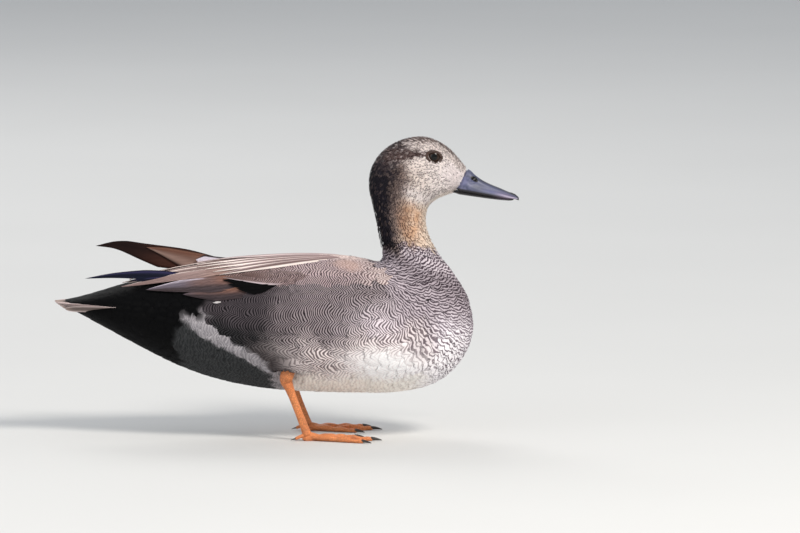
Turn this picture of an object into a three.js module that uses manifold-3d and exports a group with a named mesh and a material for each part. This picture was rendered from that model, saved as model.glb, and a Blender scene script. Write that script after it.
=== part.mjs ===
// A drake gadwall (Mareca strepera), life size, standing with its neck up and its wings folded.
// Millimetres. The duck faces +X, its right side is -Y, and its feet stand on Z = 0.
// Flesh and plumage are one lofted body, parted by thin cuts into trunk, neck, head and tail.
// Every solid of a pair is made for the right side, and the left one is its mirror image.
import * as THREE from "three";
import { mergeVertices } from "three/addons/utils/BufferGeometryUtils.js";
import Module from "manifold-3d";

const wasm = await Module();
wasm.setup();

// ---- Driving dimensions ----
const GAP = 0.3; // clearance between neighbouring solids
const FEATHER_THICKNESS = 1.1;
const BODY = { rings: 40, ringPoints: 20 };
const ROUNDNESS = { upper: 0.9, keel: 1.14, breast: 0.95 }; // 1 is an ellipse, less is boxier
const EYE = { x: 108, side: 11.7, z: 211.6, radius: 4.9, bulge: 3.8 };
const NOSTRIL = { x: 138.2, z: 194, length: 4.4, height: 2.2, slope: 0.6 };
const ANKLE = { x: -3, side: 36.5, z: 47, radius: 4.6 };
const FOOT = { x: 13, side: 32.5, z: 4.6, web: 1.3 };
const TOES = [
  { name: "outer", length: 44, splay: 24, radius: 2.2, claw: 6.5 },
  { name: "middle", length: 47, splay: 2, radius: 2.4, claw: 7 },
  { name: "inner", length: 38, splay: -23, radius: 2.1, claw: 6.5 },
];
const HIND_TOE = { name: "hind", length: 11, splay: 168, radius: 1.8, claw: 3.6 };

// Colour, roughness.
const FINISHES = {
  breast: [0x8f857f, 0.85],
  flank: [0x857b75, 0.85],
  head: [0xa39282, 0.85],
  coverts: [0x0d0c0e, 0.8],
  wing: [0x9a8676, 0.8],
  tertial: [0x8d7b70, 0.7],
  primary: [0x55423a, 0.6],
  bill: [0x34353f, 0.35],
  eye: [0x140c09, 0.08],
  leg: [0xd9722e, 0.55],
  claw: [0x1f1b1a, 0.4],
};

// The body's sections, from the tail coverts to the bill. Each runs from a point on the back line
// to one on the belly line, both [x, z], and is widest at a share of the way up from the belly.
const SECTIONS = [
  { at: "covert tips", back: [-169, 102.4], belly: [-169, 98.4], half: 12, widest: 0.5 },
  { at: "tail end", back: [-152, 106.6], belly: [-152, 89], half: 17.5, widest: 0.6 },
  { at: "tail coverts", back: [-131, 113], belly: [-131, 77.5], half: 22.5, widest: 0.58 },
  { at: "vent", back: [-109, 119.2], belly: [-109, 65.5], half: 29, widest: 0.56 },
  { at: "rump", back: [-84, 125.7], belly: [-84, 53.2], half: 37, widest: 0.54 },
  { at: "hips", back: [-54, 131.2], belly: [-54, 42.7], half: 46, widest: 0.52 },
  { at: "hind belly", back: [-20, 134.8], belly: [-20, 36.2], half: 52.5, widest: 0.5 },
  { at: "mid back", back: [15, 136.4], belly: [16, 33.4], half: 55.5, widest: 0.48 },
  { at: "fore back", back: [43, 135.4], belly: [50, 32.6], half: 55, widest: 0.48 },
  { at: "shoulders", back: [57, 133.2], belly: [82, 33.4], half: 51, widest: 0.5 },
  { at: "crop", back: [64, 131.8], belly: [108.5, 39.8], half: 45, widest: 0.52 },
  { at: "low breast", back: [67, 131.8], belly: [127, 54.8], half: 38.5, widest: 0.52 },
  { at: "breast", back: [68.4, 133.4], belly: [137.2, 77.4], half: 32, widest: 0.5 },
  { at: "high breast", back: [69, 136.6], belly: [134.2, 103], half: 25.5, widest: 0.5 },
  { at: "neck base", back: [68.8, 142], belly: [122.5, 123.2], half: 20.5, widest: 0.5 },
  { at: "low neck", back: [67.4, 150], belly: [110.8, 139.4], half: 17.4, widest: 0.5 },
  { at: "mid neck", back: [65.2, 161.5], belly: [103.4, 155], half: 15.9, widest: 0.5 },
  { at: "high neck", back: [61.8, 174], belly: [102.4, 166.8], half: 16, widest: 0.5 },
  { at: "nape", back: [59, 187.5], belly: [105.2, 174.2], half: 17.4, widest: 0.5 },
  { at: "hind crown", back: [60.6, 201.4], belly: [111, 178.6], half: 18.8, widest: 0.5 },
  { at: "crown", back: [69, 214.6], belly: [116.3, 181], half: 19, widest: 0.46 },
  { at: "top", back: [84, 223.6], belly: [119.8, 182.2], half: 17.8, widest: 0.44 },
  { at: "brow", back: [102, 225.6], belly: [122, 182.9], half: 15.4, widest: 0.44 },
  { at: "forehead", back: [117.6, 218.6], belly: [123.6, 183.4], half: 12.4, widest: 0.42 },
  { at: "lores", back: [128, 208], belly: [124.6, 183.9], half: 10, widest: 0.42 },
  { at: "bill base", back: [133.2, 201.4], belly: [125.6, 184.6], half: 8.6, widest: 0.42 },
];
const LAST = SECTIONS.length - 1;
const KEEL_END = 7; // the section where the keeled belly starts to turn into the round breast
const BREAST_START = 11;

// The mandibles' sections run along the bill, each from its upper to its lower point, [x, z].
const UPPER_MANDIBLE = [
  { top: [133.9, 202.2], bottom: [126.6, 185.3], half: 8.6 },
  { top: [138, 197.4], bottom: [131.5, 184.5], half: 8.4 },
  { top: [144, 192.9], bottom: [138, 183.4], half: 8.1 },
  { top: [150.5, 189.6], bottom: [146, 182], half: 8.1 },
  { top: [157.5, 186.7], bottom: [154, 180.7], half: 8.4 },
  { top: [163.8, 183.9], bottom: [161.5, 179.8], half: 8.8 },
  { top: [168.4, 182], bottom: [167, 179.3], half: 7.6 },
  { top: [170.9, 180.8], bottom: [170.2, 178.9], half: 4.8 },
  { top: [171.6, 179.9], bottom: [171.6, 178.6], half: 2 },
];
const LOWER_MANDIBLE = [
  { top: [127.2, 184.8], bottom: [126.6, 182.2], half: 7.2 },
  { top: [138, 182.9], bottom: [137.4, 180.6], half: 7.1 },
  { top: [150, 180.9], bottom: [149.6, 178.9], half: 7 },
  { top: [160, 179.5], bottom: [159.8, 177.8], half: 6.8 },
  { top: [165.6, 179], bottom: [165.4, 177.5], half: 4.8 },
  { top: [167.6, 178.8], bottom: [167.5, 177.8], half: 2 },
];

// The scapulars and coverts wrap the back's side as a shield. Its lower edge is a share of the
// body's height, which sinks from `front` to `rear` where the folded wing shows under the scapulars.
const SHIELD = { front: 100, rear: -62, top: 0.99, lift: 1.6, depth: 4.5 };
const SHIELD_EDGE = { front: 0.85, rear: 0.71, sinksFrom: 0, sinksTo: -50 };

// A fan of overlapping feathers runs from two root corners to a tip for each feather. `notch` is the
// share of its length that is cut in between two tips, and `swell` rounds its outer edges.
// The tertials lie on the body: their corners are [x, share of the body's height, lift off it].
const TERTIALS = {
  roots: [[-30, 0.988, 1.6], [-38, 0.715, 0.8]],
  tips: [[-125, 0.94, 4.4], [-117, 0.885, 3.2], [-108, 0.835, 2.2]],
  notch: 0.09,
};

// The wing tips are free: the right one lies low over the tail and the left one stands clear of the
// back. Both are given as if on the right side.
const WING_TIPS = {
  right: {
    roots: [[-66, -20, 127], [-66, -21, 118]],
    tips: [[-152.8, -11, 121.6], [-138, -13, 117.6]],
    notch: 0.05,
    arch: 2,
    swell: 3,
  },
  left: {
    roots: [[-50, -19, 131], [-50, -20, 122]],
    tips: [[-145.5, -8, 144.4], [-117, -10, 134], [-109, -11, 128.5]],
    notch: 0.05,
    arch: 2.5,
    swell: 6,
  },
};

const TAIL = { root: -118, tip: -176.5, z: 100.4, rootHalf: 19, tipHalf: 22, feathers: 16 };

// ---- The body's surface ----
const smooth = (s) => s * s * (3 - 2 * s);
const clamp01 = (s) => THREE.MathUtils.clamp(s, 0, 1);
const ramp = (s, from, to) => smooth(clamp01((s - from) / (to - from)));
const power = (value, exponent) => Math.sign(value) * Math.abs(value) ** exponent;
const through = (points) => new THREE.CatmullRomCurve3(points, false, "centripetal");

const backLine = through(SECTIONS.map(({ back: [x, z] }) => new THREE.Vector3(x, 0, z)));
const bellyLine = through(SECTIONS.map(({ belly: [x, z] }) => new THREE.Vector3(x, 0, z)));
const widths = through(SECTIONS.map(({ half, widest }, i) => new THREE.Vector3(half, 100 * widest, 4 * i)));

// How boxy the lower half of section t is: keeled under the belly and round at the breast.
function lowerRoundness(t) {
  const share = ramp(t, KEEL_END, BREAST_START);
  return ROUNDNESS.keel + (ROUNDNESS.breast - ROUNDNESS.keel) * share;
}

// A point on the body. Section t runs from 0 to LAST, and the turn goes round it,
// from the belly (0) up the right side to the back (PI).
function bodyPoint(t, turn, inset = 0) {
  const share = clamp01(t / LAST);
  const back = backLine.getPoint(share);
  const belly = bellyLine.getPoint(share);
  const { x: half, y: percent } = widths.getPoint(share);
  const up = back.clone().sub(belly);
  const height = up.length();
  up.normalize();
  const roundness = Math.cos(turn) < 0 ? ROUNDNESS.upper : lowerRoundness(t);
  const rise = power(-Math.cos(turn), roundness);
  const widest = (percent / 100) * height;
  const reach = (rise > 0 ? height - widest : widest) - inset;
  const side = -power(Math.sin(turn), roundness) * (half - inset);
  return belly.addScaledVector(up, widest + rise * reach).setY(side);
}

// The turn on the right side where section t has risen by this share of its height.
function turnAt(t, share) {
  const widest = widths.getPoint(clamp01(t / LAST)).y / 100;
  const rise = share > widest ? (share - widest) / (1 - widest) : (share - widest) / widest;
  return Math.acos(-power(rise, 1 / (rise > 0 ? ROUNDNESS.upper : lowerRoundness(t))));
}

// The section of the trunk whose middle lies at x, by halving.
function sectionAt(x) {
  let low = 0;
  let high = BREAST_START + 1;
  for (let i = 0; i < 24; i += 1) {
    const t = (low + high) / 2;
    const middle = (backLine.getPoint(t / LAST).x + bellyLine.getPoint(t / LAST).x) / 2;
    if (middle < x) {
      low = t;
    } else {
      high = t;
    }
  }
  return (low + high) / 2;
}

// A point over the right side of the trunk, lifted off its surface.
function sidePoint(x, share, lift) {
  const t = sectionAt(x);
  const turn = turnAt(t, Math.min(share, 0.99));
  const along = bodyPoint(t + 0.05, turn).sub(bodyPoint(t - 0.05, turn));
  const round = bodyPoint(t, turn + 0.02).sub(bodyPoint(t, turn - 0.02));
  return bodyPoint(t, turn).addScaledVector(round.cross(along).normalize(), -lift);
}

// ---- Making solids ----
function geometryOf(points, triangles) {
  const geometry = new THREE.BufferGeometry();
  geometry.setAttribute("position", new THREE.Float32BufferAttribute(points.flatMap((p) => [...p]), 3));
  geometry.setIndex(triangles.flat());
  return geometry;
}

// A closed geometry as a solid, turned the right way out.
function solidOf(geometry) {
  geometry.deleteAttribute("normal");
  geometry.deleteAttribute("uv");
  const merged = mergeVertices(geometry, 1e-3);
  const vertProperties = merged.attributes.position.array;
  const triVerts = new Uint32Array(merged.index.array);
  const solid = new wasm.Manifold(new wasm.Mesh({ numProp: 3, vertProperties, triVerts }));
  if (solid.volume() > 0) {
    return solid;
  }
  const turned = triVerts.map((_, i) => triVerts[i % 3 === 0 ? i : i + (i % 3 === 1 ? 1 : -1)]);
  return new wasm.Manifold(new wasm.Mesh({ numProp: 3, vertProperties, triVerts: turned }));
}

function geometryFrom(solid) {
  const { vertProperties, triVerts } = solid.getMesh();
  const geometry = new THREE.BufferGeometry();
  geometry.setAttribute("position", new THREE.Float32BufferAttribute(vertProperties, 3));
  geometry.setIndex(new THREE.BufferAttribute(triVerts, 1));
  geometry.computeVertexNormals();
  return geometry;
}

// A closed solid through rings of points, capped from the middle of its first and last ring.
function loft(rings) {
  const size = rings[0].length;
  const middleOf = (ring) => ring.reduce((sum, p) => sum.add(p), new THREE.Vector3()).divideScalar(size);
  const points = [...rings.flat(), middleOf(rings[0]), middleOf(rings[rings.length - 1])];
  const lastRing = size * (rings.length - 1);
  const triangles = [];
  for (let j = 0; j < size; j += 1) {
    const next = (j + 1) % size;
    for (let first = 0; first < lastRing; first += size) {
      triangles.push([first + j, first + next, first + size + j]);
      triangles.push([first + next, first + size + next, first + size + j]);
    }
    triangles.push([next, j, points.length - 2]);
    triangles.push([lastRing + j, lastRing + next, points.length - 1]);
  }
  return solidOf(geometryOf(points, triangles));
}

// A ring of points round `at`, in the plane of the directions `across` and `side`.
function ringOf(at, across, side, size) {
  const ring = [];
  for (let j = 0; j < size; j += 1) {
    const turn = (2 * Math.PI * j) / size;
    ring.push(at.clone().addScaledVector(across, Math.cos(turn)).addScaledVector(side, Math.sin(turn)));
  }
  return ring;
}

// A tube through points that have a radius each, squashed from side to side.
function tube(points, size) {
  const centres = points.map(({ at }) => new THREE.Vector3(...at));
  const rings = points.map(({ radius, squash = 1 }, i) => {
    const before = centres[Math.max(i - 1, 0)];
    const after = centres[Math.min(i + 1, centres.length - 1)];
    const along = after.clone().sub(before).normalize();
    const across = new THREE.Vector3(0, 1, 0).cross(along).normalize();
    const side = along.cross(across).multiplyScalar(radius * squash);
    return ringOf(centres[i], across.multiplyScalar(radius), side, size);
  });
  return loft(rings);
}

// A thin closed plate. `face(s, u, k)` gives the points of its two faces, k = 0 and k = 1,
// with s from its root to its tip and u from one edge to the other.
function plate(rows, columns, face) {
  const points = [];
  for (const k of [0, 1]) {
    for (let i = 0; i < rows; i += 1) {
      for (let j = 0; j < columns; j += 1) {
        points.push(face(i / (rows - 1), j / (columns - 1), k));
      }
    }
  }
  const triangles = [];
  const at = (i, j, k) => (k * rows + i) * columns + j;
  const quad = (a, b, c, d) => triangles.push([a, b, c], [a, c, d]);
  for (let i = 0; i + 1 < rows; i += 1) {
    for (let j = 0; j + 1 < columns; j += 1) {
      quad(at(i, j, 0), at(i, j + 1, 0), at(i + 1, j + 1, 0), at(i + 1, j, 0));
      quad(at(i, j, 1), at(i + 1, j, 1), at(i + 1, j + 1, 1), at(i, j + 1, 1));
    }
    const end = columns - 1;
    quad(at(i, 0, 1), at(i, 0, 0), at(i + 1, 0, 0), at(i + 1, 0, 1));
    quad(at(i, end, 0), at(i, end, 1), at(i + 1, end, 1), at(i + 1, end, 0));
  }
  for (let j = 0; j + 1 < columns; j += 1) {
    const end = rows - 1;
    quad(at(0, j, 0), at(0, j, 1), at(0, j + 1, 1), at(0, j + 1, 0));
    quad(at(end, j, 1), at(end, j, 0), at(end, j + 1, 0), at(end, j + 1, 1));
  }
  return solidOf(geometryOf(points, triangles));
}

// The solid pushed out along its own faces, which makes the room that its neighbours leave for it.
function grown(solid) {
  const geometry = geometryFrom(solid);
  const { position, normal } = geometry.attributes;
  for (let i = 0; i < position.count; i += 1) {
    const out = new THREE.Vector3().fromBufferAttribute(normal, i).multiplyScalar(1.25 * GAP);
    position.setXYZ(i, ...out.add(new THREE.Vector3().fromBufferAttribute(position, i)));
  }
  return solidOf(geometry);
}

const mirrored = (solid) => solidOf(geometryFrom(solid).scale(1, -1, 1));
const bothSides = (solid) => [solid, mirrored(solid)];
const joined = (solids) => solids.reduce((all, one) => all.add(one));
const clearOf = (solid, others) => others.reduce((left, other) => left.subtract(other), solid);
const largest = (solid) => solid.decompose().sort((a, b) => b.volume() - a.volume())[0];

// What is left of a solid on the normal's side of a cut (sign 1) or behind it (-1), half a gap away.
function beyond(solid, { normal, at }, sign = 1) {
  const [nx, ny, nz] = normal.map((v) => v * sign);
  return solid.trimByPlane([nx, ny, nz], nx * at[0] + ny * at[1] + nz * at[2] + GAP / 2);
}

// ---- Trunk, neck and head ----
const NECK_CUT = { normal: [0.235, 0, 0.972], at: [70, 0, 132] };
const HEAD_CUT = { normal: [0.42, 0, 0.907], at: [64, 0, 182] };
const TAIL_CUT = { normal: [-1, 0, 0], at: [-108, 0, 0] };

function bodySolid(inset = 0) {
  const rings = [];
  for (let i = 0; i <= BODY.rings; i += 1) {
    const ring = [];
    for (let j = 0; j < BODY.ringPoints; j += 1) {
      ring.push(bodyPoint((i / BODY.rings) * LAST, (2 * Math.PI * j) / BODY.ringPoints, inset));
    }
    rings.push(ring);
  }
  return loft(rings);
}

function eyeball() {
  const geometry = new THREE.SphereGeometry(1, 12, 8);
  geometry.scale(EYE.radius, EYE.bulge, EYE.radius);
  geometry.translate(EYE.x, -EYE.side, EYE.z);
  return solidOf(geometry);
}

// ---- Bill ----
// A mandible is widest at a share of its height: at 0 its underside is flat, at 1 its top is.
function mandible(sections, widest, ringPoints) {
  const top = through(sections.map(({ top: [x, z], half }) => new THREE.Vector3(x, half, z)));
  const bottom = through(sections.map(({ bottom: [x, z] }) => new THREE.Vector3(x, 0, z)));
  const steps = 2 * (sections.length - 1);
  const rings = [];
  for (let i = 0; i <= steps; i += 1) {
    const high = top.getPoint(i / steps);
    const low = bottom.getPoint(i / steps);
    const half = high.y;
    high.y = 0;
    const ring = [];
    for (let j = 0; j < ringPoints; j += 1) {
      const turn = (2 * Math.PI * j) / ringPoints;
      const rise = -Math.cos(turn);
      const height = rise < 0 ? widest * (1 + rise) : widest + rise * (1 - widest);
      ring.push(low.clone().lerp(high, height).setY(half * power(Math.sin(turn), 0.8)));
    }
    rings.push(ring);
  }
  return loft(rings);
}

function nostrils() {
  const geometry = new THREE.SphereGeometry(1, 10, 6);
  geometry.scale(NOSTRIL.length / 2, 20, NOSTRIL.height / 2);
  geometry.rotateY(NOSTRIL.slope);
  geometry.translate(NOSTRIL.x, 0, NOSTRIL.z);
  return solidOf(geometry);
}

// ---- Folded wings and tail ----
function wingShield() {
  const rearwards = (x) => ramp(-x, -SHIELD_EDGE.sinksFrom, -SHIELD_EDGE.sinksTo);
  return plate(14, 7, (s, u, k) => {
    const x = SHIELD.front + (SHIELD.rear - SHIELD.front) * s;
    const low = SHIELD_EDGE.front + (SHIELD_EDGE.rear - SHIELD_EDGE.front) * rearwards(x);
    const round = Math.max(0.12, Math.sqrt(1 - (1 - 2 * s) ** 6));
    const share = (low + SHIELD.top) / 2 + (u - 0.5) * (SHIELD.top - low) * round;
    const bulk = round * Math.max(0.4, Math.sqrt(Math.sin(Math.PI * u)));
    return sidePoint(x, share, k ? -SHIELD.depth * bulk : SHIELD.lift * bulk);
  });
}

// `place` puts a point of the fan in the duck's frame, lifted by so much off the fan's middle layer.
function featherFan({ roots, tips, notch, arch = 0, swell = 0 }, place, rows, columnsEach) {
  const [first, last] = roots.map((corner) => new THREE.Vector3(...corner));
  const ends = tips.map((tip) => new THREE.Vector3(...tip));
  const outwards = first.clone().sub(last).normalize();
  const count = tips.length;
  return plate(rows, columnsEach * count + 1, (s, u, k) => {
    const feather = THREE.MathUtils.clamp(u * count - 0.5, 0, count - 1);
    const before = Math.min(Math.floor(feather), count - 2);
    const tip = ends[before].clone().lerp(ends[before + 1], feather - before);
    const reach = s * (1 - notch * (1 - Math.abs(Math.sin(Math.PI * u * count))));
    const point = first.clone().lerp(last, u).lerp(tip, reach);
    point.addScaledVector(outwards, swell * (1 - 2 * u) * Math.sin(Math.PI * s ** 1.4));
    return place(point, arch * 4 * s * (1 - s) + (0.5 - k) * FEATHER_THICKNESS);
  });
}

const onBody = ({ x, y: share, z: lift }, height) => sidePoint(x, share, lift + height);

// Places a free fan's points, lifted along the fan's own normal.
function freely({ roots, tips }) {
  const [first, last, tip] = [...roots, tips[0]].map((corner) => new THREE.Vector3(...corner));
  const normal = last.sub(first).cross(tip.sub(first)).normalize();
  return (point, height) => point.addScaledVector(normal, height);
}

const freeFan = (fan) => featherFan(fan, freely(fan), 7, 4);

// The tail feathers: a closed fan, rounded at its end and lower at its sides than in its middle.
function tailFan() {
  const { root, tip, z, rootHalf, tipHalf, feathers } = TAIL;
  const tips = [];
  for (let i = 0; i < feathers; i += 1) {
    const across = (2 * i + 1) / feathers - 1;
    tips.push([tip + 9 * across ** 2, across * tipHalf, z + 1.4 - 4 * across ** 2]);
  }
  const fan = { roots: [[root, -rootHalf, z - 3], [root, rootHalf, z - 3]], tips, notch: 0.05 };
  return featherFan(fan, freely(fan), 4, 2);
}

// ---- Legs ----
// The feathered end of the thigh, from inside the belly to just above the ankle.
function thigh() {
  const inside = [24, 5 - ANKLE.side, 70];
  const end = [ANKLE.x + 4.4, 1 - ANKLE.side, ANKLE.z + 4.5];
  const radii = [15, 14.5, 13, 10.5, 8.6, 6.4];
  const shares = [0, 0.3, 0.55, 0.75, 0.9, 1];
  const at = (s) => inside.map((v, axis) => v + (end[axis] - v) * s);
  return tube(shares.map((s, i) => ({ at: at(s), radius: radii[i], squash: 0.85 })), 12);
}

// The bare leg: the end of the shin, the ankle's knuckle and the tarsus.
function bareLeg() {
  const { x, side, z, radius } = ANKLE;
  const down = (s) => [x + (FOOT.x - x) * s, -side + (side - FOOT.side) * s, z + (FOOT.z - z) * s];
  const points = [
    { at: [x + 3.8, -side, z + 4.2], radius: 0.9 * radius, squash: 0.8 },
    { at: [x + 1, -side, z + 1.6], radius, squash: 0.82 },
    { at: down(0.02), radius: 0.98 * radius, squash: 0.84 },
    { at: down(0.14), radius: 0.76 * radius, squash: 0.8 },
    { at: down(0.3), radius: 2.9, squash: 0.78 },
    { at: down(0.6), radius: 2.75, squash: 0.78 },
    { at: down(0.85), radius: 3, squash: 0.85 },
    { at: down(1), radius: 3.5, squash: 1 },
  ];
  return tube(points, 10);
}

// A point over a toe, `out` from the foot's joint and at height z.
function overToe({ splay }, out, z) {
  const angle = THREE.MathUtils.degToRad(splay);
  return [FOOT.x + 2 + out * Math.cos(angle), -FOOT.side - out * Math.sin(angle), z];
}

// A toe lies on the floor and swells at each of its joints.
function toeSolid(toe) {
  const shares = [0, 0.16, 0.33, 0.5, 0.66, 0.84, 1];
  const points = shares.map((s) => {
    const knuckle = 1 + 0.13 * Math.cos(2 * Math.PI * 3 * s);
    const radius = toe.radius * (1 - 0.32 * s) * knuckle * (s === 1 ? 0.7 : 1);
    return { at: overToe(toe, toe.length * s, 0.85 * radius), radius };
  });
  return tube(points, 6);
}

// The web joins the three front toes, with a hollow edge between their tips.
function webSolid() {
  const tips = TOES.map((toe) => overToe(toe, 0.92 * toe.length, 0));
  const heel = FOOT.x - 1;
  const shape = new THREE.Shape();
  shape.moveTo(heel, -FOOT.side - 2.5);
  shape.lineTo(tips[0][0], tips[0][1]);
  for (let i = 1; i < tips.length; i += 1) {
    const [from, to] = [tips[i - 1], tips[i]];
    shape.quadraticCurveTo((from[0] + to[0]) / 2 - 8, (from[1] + to[1]) / 2, to[0], to[1]);
  }
  shape.lineTo(heel, -FOOT.side + 2.5);
  const settings = { depth: FOOT.web, bevelEnabled: false, curveSegments: 4 };
  return solidOf(new THREE.ExtrudeGeometry(shape, settings));
}

function hindToe() {
  const shares = [0, 0.35, 0.7, 1];
  const at = (s) => overToe(HIND_TOE, HIND_TOE.length * s, FOOT.z + 1.4 - 4.2 * s);
  return tube(shares.map((s) => ({ at: at(s), radius: HIND_TOE.radius * (1 - 0.35 * s) })), 6);
}

function heelPad() {
  const geometry = new THREE.SphereGeometry(1, 8, 5);
  geometry.scale(5, 4.2, 3.2);
  geometry.translate(FOOT.x + 1, -FOOT.side, 2);
  return solidOf(geometry);
}

const aboveFloor = (solid) => solid.trimByPlane([0, 0, 1], 0);

function footSolid(leg) {
  const whole = joined([...TOES.map(toeSolid), webSolid(), hindToe(), heelPad()]);
  return aboveFloor(whole).subtract(grown(leg));
}

// A claw curves down to the floor from just beyond the end of its toe.
function clawSolid(toe) {
  const shares = [0, 0.4, 0.75, 1];
  const points = shares.map((s) => {
    const at = overToe(toe, toe.length + GAP + toe.claw * s, 1.75 - 1.1 * s * s);
    return { at, radius: 0.2 * toe.claw * (1 - 0.8 * s ** 1.5) };
  });
  return aboveFloor(tube(points, 6));
}

// ---- The duck ----
function meshOf(name, solid, finish) {
  const [color, roughness] = FINISHES[finish];
  const material = new THREE.MeshStandardMaterial({ color, roughness, metalness: 0 });
  const mesh = new THREE.Mesh(geometryFrom(largest(solid)), material);
  mesh.name = name;
  return mesh;
}

// Adds the right piece and its mirror image.
function addPair(group, name, solid, finish) {
  const right = meshOf(`${name}_right`, solid, finish);
  const left = meshOf(`${name}_left`, solid, finish);
  left.scale.y = -1;
  group.add(right, left);
}

const body = bodySolid();
const bodyRoom = bodySolid(-GAP);
const shield = wingShield();
const tertials = featherFan(TERTIALS, onBody, 8, 4);
const leg = bareLeg();
const wingRooms = [...bothSides(grown(shield)), ...bothSides(grown(tertials))];

const trunk = clearOf(beyond(beyond(body, NECK_CUT, -1), TAIL_CUT, -1), wingRooms);
const tail = clearOf(tailFan().add(beyond(body, TAIL_CUT)), wingRooms);
const head = clearOf(beyond(body, HEAD_CUT), bothSides(grown(eyeball())));

const duck = new THREE.Group();
duck.add(meshOf("trunk", trunk, "flank"));
duck.add(meshOf("tail", tail, "coverts"));

const neckAndHead = new THREE.Group();
neckAndHead.add(meshOf("neck", beyond(beyond(body, NECK_CUT), HEAD_CUT, -1), "breast"));
neckAndHead.add(meshOf("head", head, "head"));
neckAndHead.add(meshOf("bill_upper", clearOf(mandible(UPPER_MANDIBLE, 0, 12), [nostrils(), bodyRoom]), "bill"));
neckAndHead.add(meshOf("bill_lower", mandible(LOWER_MANDIBLE, 1, 10).subtract(bodyRoom), "bill"));
addPair(neckAndHead, "eye", eyeball(), "eye");
duck.add(neckAndHead);

const wings = new THREE.Group();
addPair(wings, "wing", shield, "wing");
addPair(wings, "tertials", tertials.subtract(grown(shield)), "tertial");
for (const [side, fan] of Object.entries(WING_TIPS)) {
  const tips = clearOf(freeFan(fan), [bodyRoom, ...wingRooms]);
  const mesh = meshOf(`primaries_${side}`, tips, "primary");
  mesh.scale.y = side === "left" ? -1 : 1;
  wings.add(mesh);
}
duck.add(wings);

const legs = new THREE.Group();
addPair(legs, "thigh", clearOf(thigh(), [bodyRoom, grown(leg)]), "breast");
addPair(legs, "leg", leg.subtract(bodyRoom), "leg");
addPair(legs, "foot", footSolid(leg), "leg");
for (const toe of [...TOES, HIND_TOE]) {
  addPair(legs, `claw_${toe.name}`, clawSolid(toe), "claw");
}
duck.add(legs);

// The origin is on the floor, under the middle of the duck's box.
const middle = new THREE.Box3().setFromObject(duck).getCenter(new THREE.Vector3());
duck.position.set(-middle.x, -middle.y, 0);

export default duck;
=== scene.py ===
"""A drake gadwall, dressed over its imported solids: one skin, its coat of feathers, bill, eyes and feet.

Lengths in this script are millimetres in the solids' own layout, and world() turns them into metres
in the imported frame. Seen from the belly, `turn` goes round the body from 0 to pi at the back,
positive on the right side and negative on the left, and `t` runs along it from tail to bill: about 4 at
the vent, 7 at the legs, 12 at the breast's front, 15 at the foot of the neck and 22 over the eyes.
"""
import math

import bpy
import numpy as np
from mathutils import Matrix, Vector
from mathutils.kdtree import KDTree

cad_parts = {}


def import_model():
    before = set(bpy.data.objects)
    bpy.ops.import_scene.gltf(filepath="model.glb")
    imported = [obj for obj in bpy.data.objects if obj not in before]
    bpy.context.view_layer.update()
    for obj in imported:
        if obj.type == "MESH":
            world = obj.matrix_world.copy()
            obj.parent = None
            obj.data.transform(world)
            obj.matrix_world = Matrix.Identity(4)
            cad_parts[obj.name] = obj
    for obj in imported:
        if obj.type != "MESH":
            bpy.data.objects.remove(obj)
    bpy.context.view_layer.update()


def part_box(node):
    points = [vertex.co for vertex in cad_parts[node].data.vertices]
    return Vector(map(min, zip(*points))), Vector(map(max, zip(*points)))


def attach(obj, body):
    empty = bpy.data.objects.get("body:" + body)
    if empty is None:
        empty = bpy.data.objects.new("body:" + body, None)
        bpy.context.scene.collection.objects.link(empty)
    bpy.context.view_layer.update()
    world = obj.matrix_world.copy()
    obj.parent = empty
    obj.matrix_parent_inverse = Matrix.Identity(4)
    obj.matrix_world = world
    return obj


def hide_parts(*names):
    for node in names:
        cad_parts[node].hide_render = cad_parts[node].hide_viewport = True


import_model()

# ---- Sizes that the solids have too ----
SECTIONS = [
    (-169, 102.4, -169, 98.4, 12, .5), (-152, 106.6, -152, 89, 17.5, .6),
    (-131, 113, -131, 77.5, 22.5, .58), (-109, 119.2, -109, 65.5, 29, .56),
    (-84, 125.7, -84, 53.2, 37, .54), (-54, 131.2, -54, 42.7, 46, .52),
    (-20, 134.8, -20, 36.2, 52.5, .5), (15, 136.4, 16, 33.4, 55.5, .48),
    (43, 135.4, 50, 32.6, 55, .48), (57, 133.2, 82, 33.4, 51, .5),
    (64, 131.8, 108.5, 39.8, 45, .52), (67, 131.8, 127, 54.8, 38.5, .52),
    (68.4, 133.4, 137.2, 77.4, 32, .5), (69, 136.6, 134.2, 103, 25.5, .5),
    (68.8, 142, 122.5, 123.2, 20.5, .5), (67.4, 150, 110.8, 139.4, 17.4, .5),
    (65.2, 161.5, 103.4, 155, 15.9, .5), (61.8, 174, 102.4, 166.8, 16, .5),
    (59, 187.5, 105.2, 174.2, 17.4, .5), (60.6, 201.4, 111, 178.6, 18.8, .5),
    (69, 214.6, 116.3, 181, 19, .46), (84, 223.6, 119.8, 182.2, 17.8, .44),
    (102, 225.6, 122, 182.9, 15.4, .44), (117.6, 218.6, 123.6, 183.4, 12.4, .42),
    (128, 208, 124.6, 183.9, 10, .42), (133.2, 201.4, 125.6, 184.6, 8.6, .42),
]
UPPER_MANDIBLE = [
    (133.9, 202.2, 126.6, 185.3, 8.6), (138, 197.4, 131.5, 184.5, 8.4), (144, 192.9, 138, 183.4, 8.1),
    (150.5, 189.6, 146, 182, 8.1), (157.5, 186.7, 154, 180.7, 8.4), (163.8, 183.9, 161.5, 179.8, 8.8),
    (168.4, 182, 167, 179.3, 7.6), (170.9, 180.8, 170.2, 178.9, 4.8), (171.6, 179.9, 171.6, 178.6, 2),
]
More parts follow.
